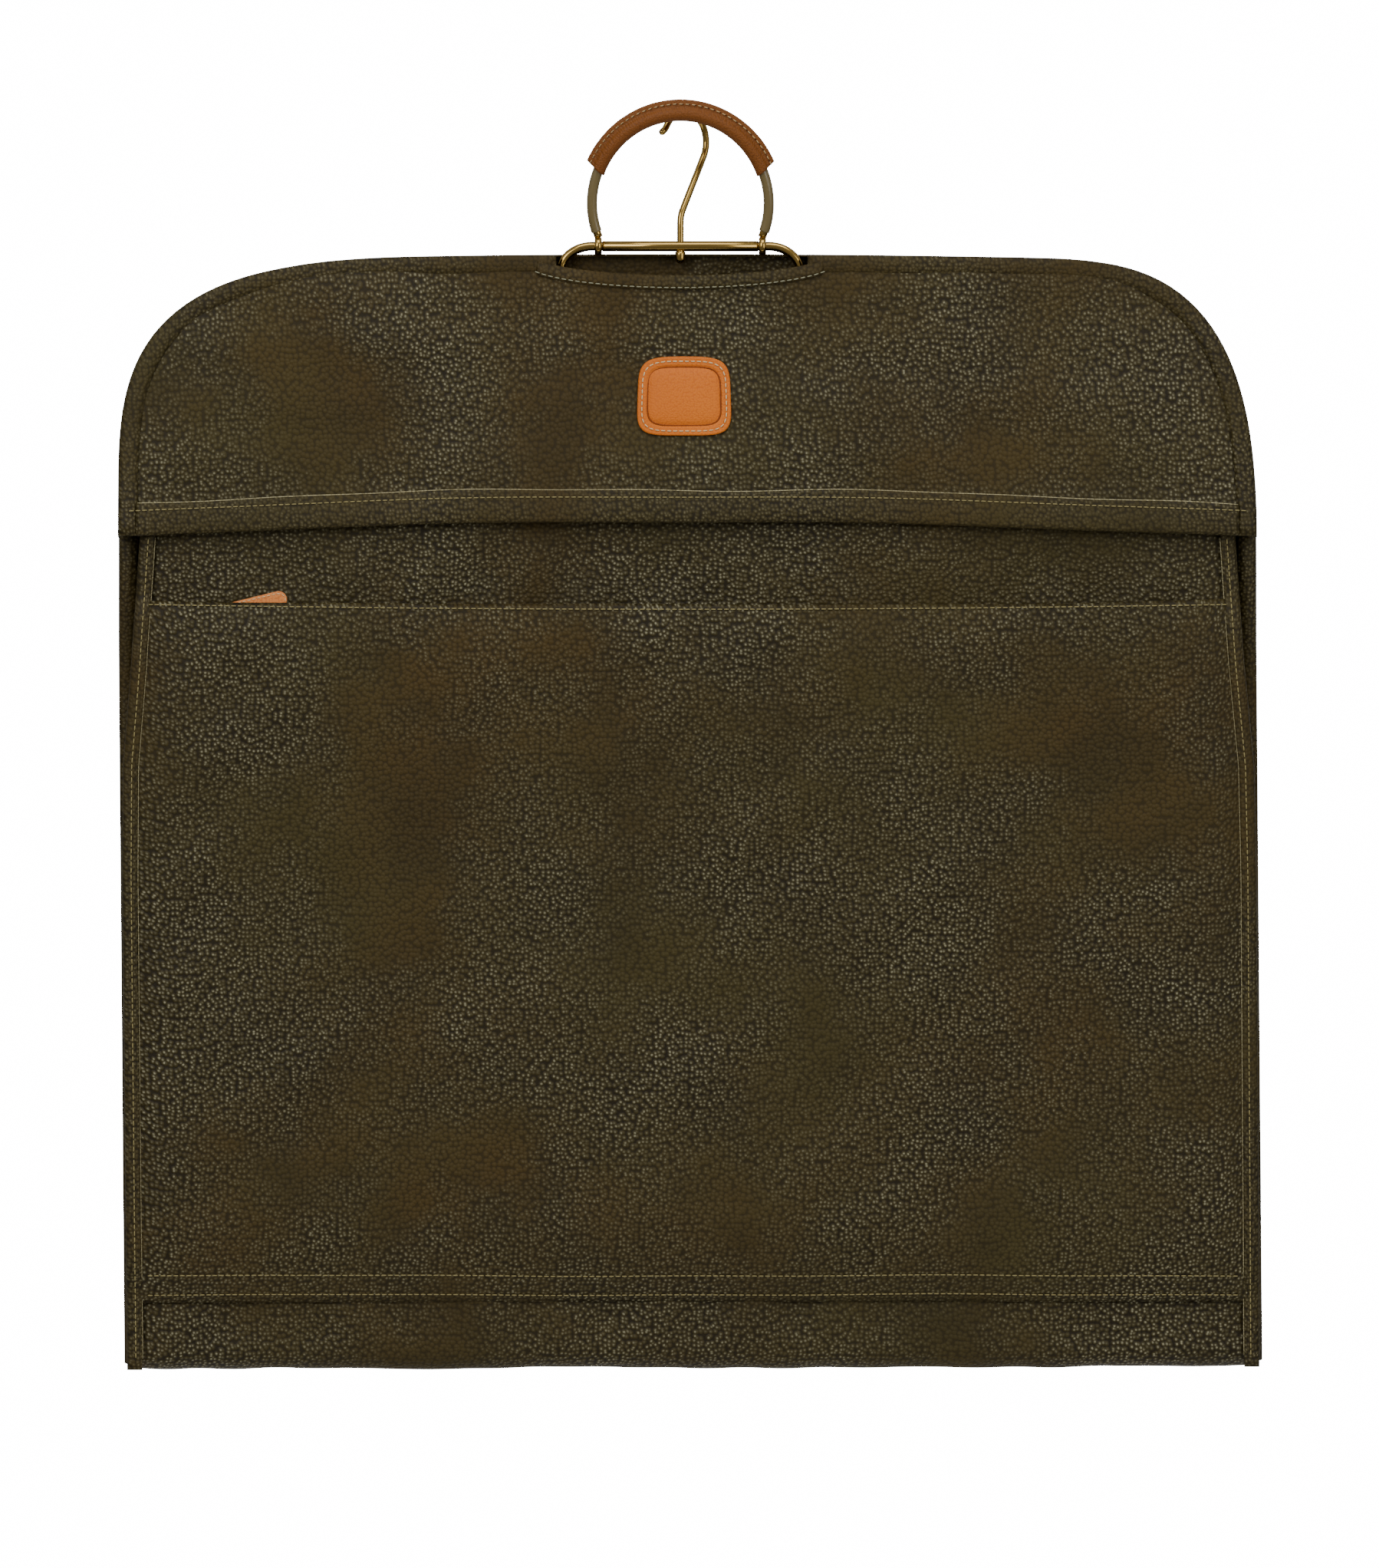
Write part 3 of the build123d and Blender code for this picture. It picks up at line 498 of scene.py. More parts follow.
# Side walls of the upper half below the yoke: strips of thin leather folded into a
# channel, their front lips drawn forwards under the hem.
for side, word in ((-1, "left"), (1, "right")):
    run = np.linspace(FOLD + 0.0034, HEM_Z + 0.012, 90)
    edge_x = SIDE + side * (HALF + 0.0006 + 0.0003 * np.sin(run * 31))
    near_hem = np.clip((run + 0.31) / 0.08, 0, 1)
    path = np.stack([edge_x + 0 * run, -0.0085 * near_hem**2 * (3 - 2 * near_hem), run], -1)
    if side > 0:
        path = path[::-1]
    channel = [(0.0095, 0.0078), (0.0095, 0.0090), (0.003, 0.0092), (0.0008, 0.0084), (0.0001, 0.0068)]
    channel += [(0.0012, 0.0), (0.0002, -0.0048), (0.0012, -0.0048), (0.0024, 0.0)]
    channel += [(0.0014, 0.0064), (0.0024, 0.0077)]
    wall = sweep(f"side wall {word}", path, channel, edge_leather)
    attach(wall, "upper_half")
    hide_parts(f"side_gusset_{word}")

# Lower half's edges: folded leather channels down both sides, each pinned by one
# row of stitches in its middle, and the side walls that run back from them.
pocket_low, pocket_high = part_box("pocket_panel")
POCKET_TOP = pocket_high[2]
POCKET_LOW = pocket_low[2]
POCKET_Y = pocket_low[1]
inner_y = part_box("lower_inner_left")[1][1]


def pocket_depth(x, z):
    """Face of the pocket panel: nearly flat, drawn back to its seams at the sides."""
    w = lower_half_width(z)
    near = np.clip((w - np.abs(x - SIDE)) / 0.030, 0, 1)
    foot = np.clip((z - POCKET_LOW) / 0.050, 0, 1)
    head = np.clip((POCKET_TOP - z) / 0.030, 0, 1)
    full = (1 - (1 - near) ** 2.2) * (1 - (1 - foot) ** 2.4)
    flat = FRONT_Y - 0.0022 + (POCKET_Y + 0.0005 - FRONT_Y + 0.0022) * full
    flat = flat + 0.0022 * (1 - head) ** 2
    swell = 0.0010 * noise(x * 0.8, z, 0.22, 21) + 0.00045 * noise(x, z, 0.06, 22)
    return flat - swell * near * np.clip(foot + 0.2, 0, 1)


def edge_face(z, side):
    """Depth of the leather under the side binding at height z."""
    x = SIDE + side * (lower_half_width(z) - 0.004)
    inside_pocket = np.clip((POCKET_TOP + 0.004 - z) / 0.010, 0, 1)
    below = np.clip((z - POCKET_LOW - 0.004) / 0.012, 0, 1)
    return FRONT_Y - 0.0005 + (pocket_depth(x, z) - FRONT_Y) * inside_pocket * below


for side, word in ((-1, "left"), (1, "right")):
    run = np.linspace(FOLD + 0.0004, HEM_Z + 0.010, 150)
    face = edge_face(run, side)
    path = np.stack([SIDE + side * (lower_half_width(run) + 0.0005), face, run], -1)
    if side > 0:
        path = path[::-1]
    channel = [(0.0076, 0.0002), (0.0077, 0.0015), (0.0070, 0.0021), (0.0035, 0.0023), (0.0012, 0.0018)]
    channel += [(0.0, 0.0006), (-0.0004, -0.0015), (0.0, -0.0070), (0.0012, -0.0070)]
    channel += [(0.0012, -0.0014), (0.0030, 0.0)]
    binding = sweep(f"lower binding {word}", path, channel, edge_leather)
    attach(binding, "lower_half")
    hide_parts(f"lower_edge_{word}")
    line = path[(path[:, 2] > FOLD + 0.004) & (path[:, 2] < HEM_Z)]
    line = line + np.array([-side * 0.0078, -0.0010, 0])
    raw = tube(f"lower raw edge {word}", line, 0.00032, raw_leather, 6)
    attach(raw, "lower_half")
    share = np.linspace(0, 1, 7)[:, None]
    base = np.stack([path[:, 0], 0 * path[:, 0], path[:, 2]], -1)[None] * np.ones((7, 1, 1))
    base[..., 0] -= side * (0.0006 + 0.0016 * np.sin(share * math.pi))
    base[..., 1] = (path[None, :, 1] - 0.001) * (1 - share) + (inner_y - 0.0008) * share
    wall = shell(f"lower side wall {word}", base, base - np.array([side * 0.0012, 0, 0]), hide_leather)
    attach(wall, "lower_half")

# End binding: a strip of leather folded over the end of the lower half, where the
# outer skin and the inner fronts meet. The yoke's hem hides it.
x = np.linspace(-0.2835, 0.2835, 120) + SIDE
rows = []
end_z = tuck_end + 0.001
over = [(FRONT_Y - 0.001, -0.0070), (FRONT_Y - 0.0016, -0.003), (FRONT_Y - 0.0004, 0.0006)]
over += [(-0.017, 0.0016), (inner_y - 0.001, 0.0006), (inner_y - 0.0002, -0.003)]
over += [(inner_y - 0.0004, -0.0070)]
for y_at, z_at in over:
    rows.append(np.stack([x, 0 * x + y_at, end_z + z_at + 0.0004 * noise(x, 0 * x, 0.2, 31)], -1))
rows = np.array(rows)
inner = rows.copy()
inner[..., 2] -= 0.0011
end = shell("end binding", rows, inner, edge_leather)
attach(end, "lower_half")
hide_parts("end_binding")

# Lining edge: the reddish cloth that lines the bag shows as a narrow strip in the
# gap beside the left end of the hem.


def one_colour(name, colour, rough):
    """A finish of one even colour."""
    finish = bpy.data.materials.new(name)
    finish.use_nodes = True
    shader = finish.node_tree.nodes["Principled BSDF"]
    shader.inputs["Base Color"].default_value = (*colour, 1)
    shader.inputs["Roughness"].default_value = rough
    return finish


lining = one_colour("lining cloth", (0.075, 0.022, 0.010), 0.8)
x = SIDE - np.array([0.2901, 0.2886])[None]
z = np.linspace(HEM_Z - 0.0075, HEM_Z + 0.008, 12)[:, None]
grid = np.stack([x + 0 * z, -0.0150 + 0 * (x + z), z + 0 * x], -1)
tag = shell("lining edge", grid, grid + np.array([0, 0.0005, 0]), lining)
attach(tag, "lower_half")

# Pocket: a wide flat panel of the same leather sewn over the lower half. Its top
# edge is turned in, its foot is sewn down with two rows.
foot_rows = np.linspace(POCKET_LOW - 0.0005, POCKET_LOW + 0.06, 26)
face_rows = np.linspace(POCKET_LOW + 0.064, POCKET_TOP - 0.03, 66)
rows = np.concatenate([foot_rows, face_rows, np.linspace(POCKET_TOP - 0.026, POCKET_TOP, 12)])
w = lower_half_width(rows)[:, None] - 0.0006
x = across[None] * w + SIDE
top_share = np.clip((rows[:, None] - (POCKET_TOP - 0.05)) / 0.05, 0, 1)
sag = 0.0028 * (1 - ((x - SIDE) / HALF) ** 2) + 0.0005 * noise(x, 0 * x, 0.18, 24)
z = rows[:, None] - top_share * (sag - 0.0012)
y = pocket_depth(x, rows[:, None] + 0 * x)
y = y + 0.0010 * np.clip(1 - (POCKET_TOP - rows[:, None]) / 0.002, 0, 1) ** 2
y = y + 0.0012 * np.clip(1 - (rows[:, None] - POCKET_LOW) / 0.003, 0, 1) ** 2
pocket = shell("pocket panel", np.stack([x, y, z], -1), np.stack([x, y + 0.0018, z], -1), hide_leather)
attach(pocket, "lower_half")
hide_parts("pocket_panel", "pocket_floor")

# Inner fronts: the faces that meet when the bag is folded, each in two leaves of
# leather with the main zip between them.
leaf_low, leaf_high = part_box("inner_front_left")
low_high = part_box("lower_inner_left")[1]
for name, face_y, top_z, body, way, seed in (
    ("inner_front", leaf_low[1], leaf_high[2], "upper_half", -1, 41),
    ("lower_inner", low_high[1], low_high[2], "lower_half", 1, 51),
):
    for side, word in ((-1, "left"), (1, "right")):
        z = np.linspace(FOLD + 0.0066, top_z, 70)[:, None]
        w = half_width(z, side) - 0.0036 if way < 0 else lower_half_width(z) - 0.002
        x = side * (0.0065 + (w + side * SIDE - 0.0065) * np.linspace(0, 1, 60)[None])
        room = np.clip(np.minimum(np.abs(x) - 0.0065, w + side * SIDE - np.abs(x)) / 0.02, 0, 1)
        swell = np.clip(np.minimum(np.abs(x) - 0.0065, w + side * SIDE - np.abs(x)) / 0.09, 0, 1)
        y = face_y - way * 0.0007 + 0.00035 * noise(x, z, 0.12, seed) * room + way * 0.0024 * swell
        grid = np.stack([x, y + 0 * z, z + 0 * x], -1)
        leaf = shell(f"{name} {word}", grid, grid - np.array([0, way * 0.0014, 0]), hide_leather)
        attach(leaf, body)
        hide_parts(f"{name}_{word}")

# Thread: every seam is a row of short raised stitches, laid down by one repeating
# row that places a stitch at each pitch along the seam's line.
thread = one_colour("olive thread", (0.21, 0.17, 0.058), 0.6)
STITCH_PITCH = 0.0034


def capsule(name, length, width, height, sides=6):
    """One small stitch lying along X, its ends dipping down."""
    points, faces = [], []
    along = [-0.5, -0.36, 0.0, 0.36, 0.5]
    girth = [0.35, 0.9, 1.0, 0.9, 0.35]
    for a, g in zip(along, girth):
        for k in range(sides):
            t = 2 * math.pi * k / sides
            points.append((a * length, math.cos(t) * width / 2 * g, math.sin(t) * height / 2 * g))
    for i in range(4):
        for k in range(sides):
            l = (k + 1) % sides
            faces.append((i * sides + k, i * sides + l, (i + 1) * sides + l, (i + 1) * sides + k))
    faces.append(tuple(range(sides))[::-1])
    faces.append(tuple(4 * sides + k for k in range(sides)))
    data = bpy.data.meshes.new(name)
    data.from_pydata(points, [], faces)
    data.shade_smooth()
    return bpy.data.objects.new(name, data)


def row_group():
    """Places one piece at each pitch along every line of the mesh, turned to follow it."""
    tree = bpy.data.node_groups.new("Row of pieces", "GeometryNodeTree")
    face = tree.interface
    face.new_socket("Geometry", in_out="INPUT", socket_type="NodeSocketGeometry")
    keys = {}
    for label, kind in (("Pitch", "Float"), ("Piece", "Object"), ("Finish", "Material")):
        keys[label] = face.new_socket(label, in_out="INPUT", socket_type="NodeSocket" + kind).identifier
    face.new_socket("Geometry", in_out="OUTPUT", socket_type="NodeSocketGeometry")
    new, link = tree.nodes.new, tree.links.new
    start, end = new("NodeGroupInput"), new("NodeGroupOutput")
    lines = new("GeometryNodeMeshToCurve")
    spots = new("GeometryNodeCurveToPoints")
    spots.mode = "LENGTH"
    piece = new("GeometryNodeObjectInfo")
    turned = new("FunctionNodeAlignRotationToVector")
    turned.axis = "X"
    placed = new("GeometryNodeInstanceOnPoints")
    real = new("GeometryNodeRealizeInstances")
    paint = new("GeometryNodeSetMaterial")
    link(start.outputs["Geometry"], lines.inputs["Mesh"])
    link(lines.outputs["Curve"], spots.inputs["Curve"])
    link(start.outputs["Pitch"], spots.inputs["Length"])
    link(start.outputs["Piece"], piece.inputs["Object"])
    link(spots.outputs["Points"], placed.inputs["Points"])
    link(spots.outputs["Tangent"], turned.inputs["Vector"])
    link(turned.outputs["Rotation"], placed.inputs["Rotation"])
    link(piece.outputs["Geometry"], placed.inputs["Instance"])
    link(placed.outputs["Instances"], real.inputs["Geometry"])
    link(real.outputs["Geometry"], paint.inputs["Geometry"])
    link(start.outputs["Finish"], paint.inputs["Material"])
    link(paint.outputs["Geometry"], end.inputs["Geometry"])
    return tree, keys


row_tree, row_keys = row_group()


def row(name, paths, pitch, piece, finish, body):
    """Repeats the piece along the paths and turns the result into a plain mesh."""
    points, edges = [], []
    for path in paths:
        first = len(points)
        points += [tuple(p) for p in settle(path)]
        edges += [(first + i, first + i + 1) for i in range(len(path) - 1)]
    data = bpy.data.meshes.new(name)
    data.from_pydata(points, edges, [])
    thing = bpy.data.objects.new(name.replace(" ", "_"), data)
    bpy.context.collection.objects.link(thing)
    grow = thing.modifiers.new("Row", "NODES")
    grow.node_group = row_tree
    grow[row_keys["Pitch"]] = pitch
    grow[row_keys["Piece"]] = piece
    grow[row_keys["Finish"]] = finish
    seen = thing.evaluated_get(bpy.context.evaluated_depsgraph_get())
    plain = bpy.data.meshes.new_from_object(seen)
    thing.modifiers.clear()
    thing.data = plain
    if not len(plain.materials):
        plain.materials.append(finish)
    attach(thing, body)
    return thing


stitch = capsule("stitch", 0.0026, 0.00085, 0.0007)
x = np.linspace(-0.292, 0.292, 300) + SIDE
hem_seam = np.stack([x, yoke_depth(x, hem_line(x) + 0.0118) - 0.0021, hem_line(x) + 0.0118], -1)
x = np.linspace(-0.0790, 0.0710, 90) + SIDE
z = TOP - neck_line(x) - 0.0058
neck_seam = np.stack([x, yoke_depth(x, z) - 0.0016, z], -1)
back_seam = edge_path(FOLD + 0.010, 0.0065)
back_seam[:, 1] = BACK_Y - 0.0003 + back_swell(back_seam)
row("yoke stitches", [hem_seam, back_seam], STITCH_PITCH, stitch, thread, "upper_half")
grey_thread = one_colour("grey thread", (0.20, 0.195, 0.12), 0.6)
row("neck stitches", [neck_seam], 0.0036, stitch, grey_thread, "upper_half")

x = np.linspace(-0.285, 0.285, 300) + SIDE
lines = []
sag_top = 0.0028 * (1 - ((x - SIDE) / HALF) ** 2) - 0.0012
z = POCKET_TOP - 0.0024 + 0 * x
lines.append(np.stack([x, pocket_depth(x, z) - 0.0004, z - sag_top], -1))
for up in (0.0032, 0.0132):
    z = POCKET_LOW + up + 0 * x
    lines.append(np.stack([x, pocket_depth(x, z) - 0.0002, z + 0.0004 * noise(x, 0 * x, 0.2, 61)], -1))
for side in (-1, 1):
    z = np.linspace(FOLD + 0.008, HEM_Z - 0.004, 260)
    x = SIDE + side * (lower_half_width(z) - 0.0038)
    lines.append(np.stack([x, edge_face(z, side) - 0.0023, z], -1))
row("lower half stitches", lines, STITCH_PITCH, stitch, thread, "lower_half")

# Patch: tan leather, cut with round corners, sewn on with cream thread. Its middle
# is padded behind a pressed groove and is left blank. A thin dark tube laid in the
# groove is painted shade.
patch_low, patch_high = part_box("patch")
patch_x, patch_z = SIDE - 0.0018, (patch_low[2] + patch_high[2]) / 2
patch_half_w, patch_half_h = 0.0245, 0.0203


def patch_ring(inset, count=96):
    """Outline of the patch, drawn in by the inset: narrower above, domed on top."""
    t = np.linspace(0, 2 * math.pi, count, endpoint=False)
    c, s = np.cos(t), np.sin(t)
    px = (patch_half_w - inset) * np.sign(c) * np.abs(c) ** 0.42
    pz = (patch_half_h - inset) * np.sign(s) * np.abs(s) ** 0.42
    px = px * (1 - 0.028 * pz / patch_half_h)
    pz = pz + 0.0011 * (1 - (px / patch_half_w) ** 2) * (pz > 0) * (pz / patch_half_h)
    return px, pz


def tan(name, colour, dark, grain=900.0, rough=0.5, relief=0.25):
    """Smooth dyed leather: faint pores and a slightly uneven dye."""
    deep = tuple(c * k for c, k in zip(colour, (0.86, 0.8, 0.72)))
    return leather(name, dark, colour, deep, None, grain, relief, (rough - 0.06, rough + 0.08))


def stacked(name, rings, finish):
    """A closed solid through a stack of equal rings, with flat ends."""
    count = len(rings[0])
    faces = [tuple(range(count))]
    for i in range(len(rings) - 1):
        for k in range(count):
            l = (k + 1) % count
            faces.append((i * count + k, i * count + l, (i + 1) * count + l, (i + 1) * count + k))
    faces.append(tuple((len(rings) - 1) * count + k for k in range(count)))
    return make(name, np.concatenate(rings), faces, finish)


patch_leather = tan("patch leather", (0.55, 0.140, 0.011), (0.44, 0.10, 0.008))
pale_thread = one_colour("cream thread", (0.55, 0.43, 0.23), 0.6)
profile = [(0.0, 0.0002), (0.00005, 0.0009), (0.0004, 0.0013), (0.0012, 0.00145), (0.0022, 0.0013)]
profile += [(0.0027, 0.00125), (0.0036, 0.00145), (0.0044, 0.0014), (0.0050, 0.0008), (0.0056, 0.0008)]
profile += [(0.0064, 0.0015), (0.0085, 0.0021), (0.012, 0.0026), (0.016, 0.0028), (0.0195, 0.00285)]
rings = []
for inset, rise in profile:
    px, pz = patch_ring(inset)
    depth = yoke_depth(patch_x + px, patch_z + pz)
    flat = yoke_depth(patch_x + 0 * px, patch_z + pz)
    rings.append(np.stack([patch_x + px, 0.5 * (depth + flat) - rise - 0.0006, patch_z + pz], -1))
rings.insert(0, rings[0] + np.array([0, 0.0022, 0]))
patch = stacked("patch", rings, patch_leather)
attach(patch, "upper_half")
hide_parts("patch", "patch_pad")
px, pz = patch_ring(0.0053, 160)
crease = np.stack([patch_x + px, yoke_depth(patch_x + px, patch_z + pz) - 0.0012, patch_z + pz], -1)
# Painted shade: the dark tube along the groove, just inside the stitches.
groove_shade_finish = tan("pressed leather", (0.20, 0.042, 0.004), (0.13, 0.026, 0.003))
groove_shade = tube("patch groove", crease, 0.00042, groove_shade_finish, 8, (0, -1, 0), True)
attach(groove_shade, "upper_half")
px, pz = patch_ring(0.0024, 160)
loop = np.stack([patch_x + px, yoke_depth(patch_x + px, patch_z + pz) - 0.0021, patch_z + pz], -1)
loop = np.concatenate([loop, loop[:1]])
patch_stitch = capsule("patch stitch", 0.0024, 0.0008, 0.0007)
loop = resample(loop, 0.001)
row("patch stitches", [loop], 0.0031, patch_stitch, pale_thread, "upper_half")

# Metal finish: all wire and turned fittings are plated with brass. It is polished
# but handled, so its gloss is uneven.
brass = bpy.data.materials.new("plated brass")
brass.use_nodes = True
tree = brass.node_tree
shader = tree.nodes["Principled BSDF"]
place = tree.nodes.new("ShaderNodeTexCoord").outputs["Object"]
smear = tree.nodes.new("ShaderNodeTexNoise")
smear.inputs["Scale"].default_value = 160.0
smear.inputs["Detail"].default_value = 4.0
tree.links.new(place, smear.inputs["Vector"])
wear = tree.nodes.new("ShaderNodeMapRange")
wear.inputs["To Min"].default_value = 0.09
wear.inputs["To Max"].default_value = 0.22
tree.links.new(smear.outputs["Fac"], wear.inputs["Value"])
tree.links.new(wear.outputs["Result"], shader.inputs["Roughness"])
shader.inputs["Base Color"].default_value = (0.34, 0.215, 0.055, 1)
shader.inputs["Metallic"].default_value = 1.0

# Hook: one brass wire bent over, with a flared tip, turning in the bar; a small
# turned cap holds its stem from below.
bar_low, bar_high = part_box("hanger_bar")
BAR_Z = (bar_low[2] + bar_high[2]) / 2
cap_low, cap_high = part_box("hook_ferrule")
turn = math.radians(46)
heading = np.array([math.cos(turn), math.sin(turn), 0])
upright = np.array([0, 0, 1.0])
centre, radius = np.array([0.0035, -0.0145]), 0.016
low_bend = np.array([0, BAR_Z + 0.016])
gap = centre - low_bend
reach = np.hypot(*gap)
lean = math.atan2(gap[1], gap[0]) - math.asin(radius / reach)
run = math.sqrt(reach**2 - radius**2)
touch = low_bend + run * np.array([math.cos(lean), math.sin(lean)])
flat = [np.array([0, cap_low[2] + 0.001]), np.array([0, BAR_Z]), low_bend - np.array([0, 0.004])]
for s in np.linspace(0, 1, 7)[1:-1]:
    first = low_bend - np.array([0, 0.004])
    last = low_bend + 0.004 * np.array([math.cos(lean), math.sin(lean)])
    flat.append((1 - s) ** 2 * first + 2 * s * (1 - s) * low_bend + s**2 * last)
flat += [low_bend + s * (touch - low_bend) for s in (0.12, 0.5, 0.9)]
for a in np.linspace(lean - math.pi / 2, math.radians(150), 40):
    flat.append(centre + radius * np.array([math.cos(a), math.sin(a)]))
tip = flat[-1]
way = np.array([-0.5, -0.866])
for s in np.linspace(0, 1, 6)[1:]:
    flat.append(tip + way * 0.0042 * s + np.array([-0.0014, 0.0004]) * s * s)
path = resample(np.array([heading * p[0] + upright * p[1] for p in flat]), 0.0009)
side_way = np.cross(heading, upright)
HOOK_WIRE_R = 0.0018
hook = tube("hook", path, HOOK_WIRE_R, brass, 20, side_way)
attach(hook, "hook")
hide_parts("hook")


def lathe(name, spots, finish, centre, axis="Z", sides=40):
    """Turned piece: (radius, height) spots carried round an axis."""
    rings = []
    t = np.linspace(0, 2 * math.pi, sides, endpoint=False)
    for r, h in spots:
        a, b, c = np.cos(t) * r, np.sin(t) * r, np.full(sides, h)
        ring = {"Z": (a, b, c), "X": (c, a, b), "Y": (a, c, b)}[axis]
        rings.append(np.stack(ring, -1) + np.array(centre))
    return stacked(name, rings, finish)


turned = [(0.0003, -0.003), (0.0012, -0.0028), (0.0023, -0.002), (0.0027, -0.0008), (0.0028, 0.002)]
turned += [(0.0027, 0.0032), (0.0018, 0.0034)]
cap = lathe("hook cap", turned, brass, (0, 0, (cap_low[2] + cap_high[2]) / 2))
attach(cap, "hook")
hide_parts("hook_ferrule")
turned = [(0.0002, -0.0017), (0.001, -0.0014), (0.0017, -0.0003), (0.0017, 0.0004), (0.001, 0.0014)]
tip_ball = lathe("hook tip", turned + [(0.0002, 0.0017)], brass, path[-1])
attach(tip_ball, "hook")

# Hanger frame: a bent wire loop whose ends are held in the bar. It hangs in the
# neck, strapped to the back by two riveted leather tabs.
half = (bar_high[0] - bar_low[0]) / 2
turned = [(0.0019, -half), (0.0024, -half + 0.0001), (0.0028, -half + 0.0006)]
turned += [(r, -h) for r, h in turned[::-1]]
bar = lathe("bar", turned, brass, (0, 0, BAR_Z), "X")
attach(bar, "upper_half")
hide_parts("hanger_bar")
wire_low, wire_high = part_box("frame_wire")
fx, fz = wire_high[0] - 0.00195, wire_low[2] + 0.00195
corners = [(0.012, 0, BAR_Z)]
for a in np.linspace(0, math.pi / 2, 14):
    corners.append((fx - 0.0165 * (1 - math.sin(a)), 0, BAR_Z - 0.0135 * (1 - math.cos(a))))
corners += [(fx, 0, fz + 0.006), (fx - 0.0018, 0, fz + 0.0018), (fx - 0.006, 0, fz)]
corners += [(-p[0], p[1], p[2]) for p in corners[::-1]]
FRAME_WIRE_R = 0.0024
frame_loop = tube("frame wire", resample(corners, 0.0015), FRAME_WIRE_R, brass, 20)
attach(frame_loop, "upper_half")
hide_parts("frame_wire")


def dress(finish, *names):
    """The hard part itself is shown, in its real finish."""
    for name in names:
        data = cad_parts[name].data
        data.materials.clear()
        data.materials.append(finish)


dress(brass, "rivets", "main_slider", "main_pull", "pocket_slider")
dress(edge_leather, "anchor_tab_left", "anchor_tab_right")

# Handle: a wire arch with an eye at each foot, its arms sleeved in olive coating,
# the top wrapped in tan leather sewn together along the outside.
tilt = math.radians(13)
rise_way = np.array([0, -math.sin(tilt), math.cos(tilt)])
across_way = np.array([1.0, 0, 0])
front_way = np.array([0, -math.cos(tilt), -math.sin(tilt)])
hub = np.array([0, 0, BAR_Z]) + rise_way * 0.0228
eye_x = half + 0.0020
ARCH = 0.0465
HANDLE_WIRE_R, ARM_R, EYE_R = 0.0022, 0.0028, 0.0040
GRIP_FROM, GRIP_SPAN = 21.0, 137.4
FLANGE = 0.0077
coated = one_colour("coated wire", (0.120, 0.086, 0.026), 0.38)
shader = coated.node_tree.nodes["Principled BSDF"]
shader.inputs["Coat Weight"].default_value = 0.4
shader.inputs["Coat Roughness"].default_value = 0.2
grip_leather = tan("grip leather", (0.170, 0.056, 0.0080), (0.095, 0.029, 0.005), rough=0.42, relief=0.3)


def arch(start, end, steps, radius=ARCH):
    """Points of the handle's arch between two angles, and their outward ways."""
    a = np.radians(np.linspace(start, end, steps))[:, None]
    way = across_way * np.cos(a) + rise_way * np.sin(a)
    return hub + way * radius + rise_way * 0.0018 * np.clip(np.sin(a), 0, 1), way


core_path, core_out = arch(-22.5, 202.5, 90)
core = tube("handle wire", core_path, HANDLE_WIRE_R, brass, 16, core_out)
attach(core, "handle")
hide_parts("handle_core")
for side, word in ((-1, "left"), (1, "right")):
    ring_turn = np.linspace(0, 2 * math.pi, 40, endpoint=False)
    ring_way = np.stack([0 * ring_turn, np.cos(ring_turn), np.sin(ring_turn)], -1)
    ring = np.array([side * eye_x, 0, BAR_Z]) + ring_way * EYE_R
    wire_turn = np.linspace(0, 2 * math.pi, 14, endpoint=False)
    loop = [(math.cos(t) * 0.0019, math.sin(t) * 0.0014) for t in wire_turn]
    points, faces = [], []
    for p, w in zip(ring, ring_way):
        points += [p + across_way * a + w * b for a, b in loop]
    for i in range(40):
        j = (i + 1) % 40
        for k in range(14):
            l = (k + 1) % 14
            faces.append((i * 14 + k, i * 14 + l, j * 14 + l, j * 14 + k))
    eye = make(f"handle eye {word}", points, faces, brass)
    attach(eye, "handle")
for start, word in ((-18.5, "right"), (154.5, "left")):
    arm_path, arm_out = arch(start, start + 44.0, 44)
    sleeve = tube(f"handle arm {word}", arm_path, ARM_R, coated, 18, arm_out)
    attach(sleeve, "handle")
    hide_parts(f"handle_sleeve_{word}")
grip_path, grip_out = arch(GRIP_FROM, GRIP_FROM + GRIP_SPAN, 110)
round_core = np.radians(np.linspace(-158, 158, 26))
section = [(math.sin(t) * 0.00385, -math.cos(t) * 0.00385) for t in round_core]
flange = [(0.0011, 0.0045), (0.00105, FLANGE - 0.0005), (0.0006, FLANGE)]
section += flange + [(-a, b) for a, b in flange[::-1]]
grip = sweep("handle grip", grip_path, section, grip_leather, grip_out)
for spot in grip.data.vertices:
    off = np.array(spot.co) - hub
    along = np.array([off @ across_way, off @ rise_way])
    share = np.clip((np.degrees(np.arctan2(along[1], along[0])) - GRIP_FROM) / GRIP_SPAN, 0, 1)
    slant = math.radians(3.2) * (np.hypot(*along) - ARCH) / FLANGE * (1 - 2 * share)
    turned_x = along[0] * math.cos(slant) - along[1] * math.sin(slant)
    turned_z = along[0] * math.sin(slant) + along[1] * math.cos(slant)
    spot.co = hub + (turned_x * across_way + turned_z * rise_way) + front_way * (off @ front_way)
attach(grip, "handle")
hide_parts("handle_grip")
seam = arch(24.2, 155.0, 200, ARCH + 0.0055)[0]
grip_thread = one_colour("grip thread", (0.36, 0.25, 0.11), 0.6)
GRIP_PITCH = 0.0033
grip_stitch = capsule("grip stitch", 0.0021, 0.0008, 0.0006)
seam_line = seam + front_way * 0.0011
row("grip stitches", [seam_line], GRIP_PITCH, grip_stitch, grip_thread, "handle")
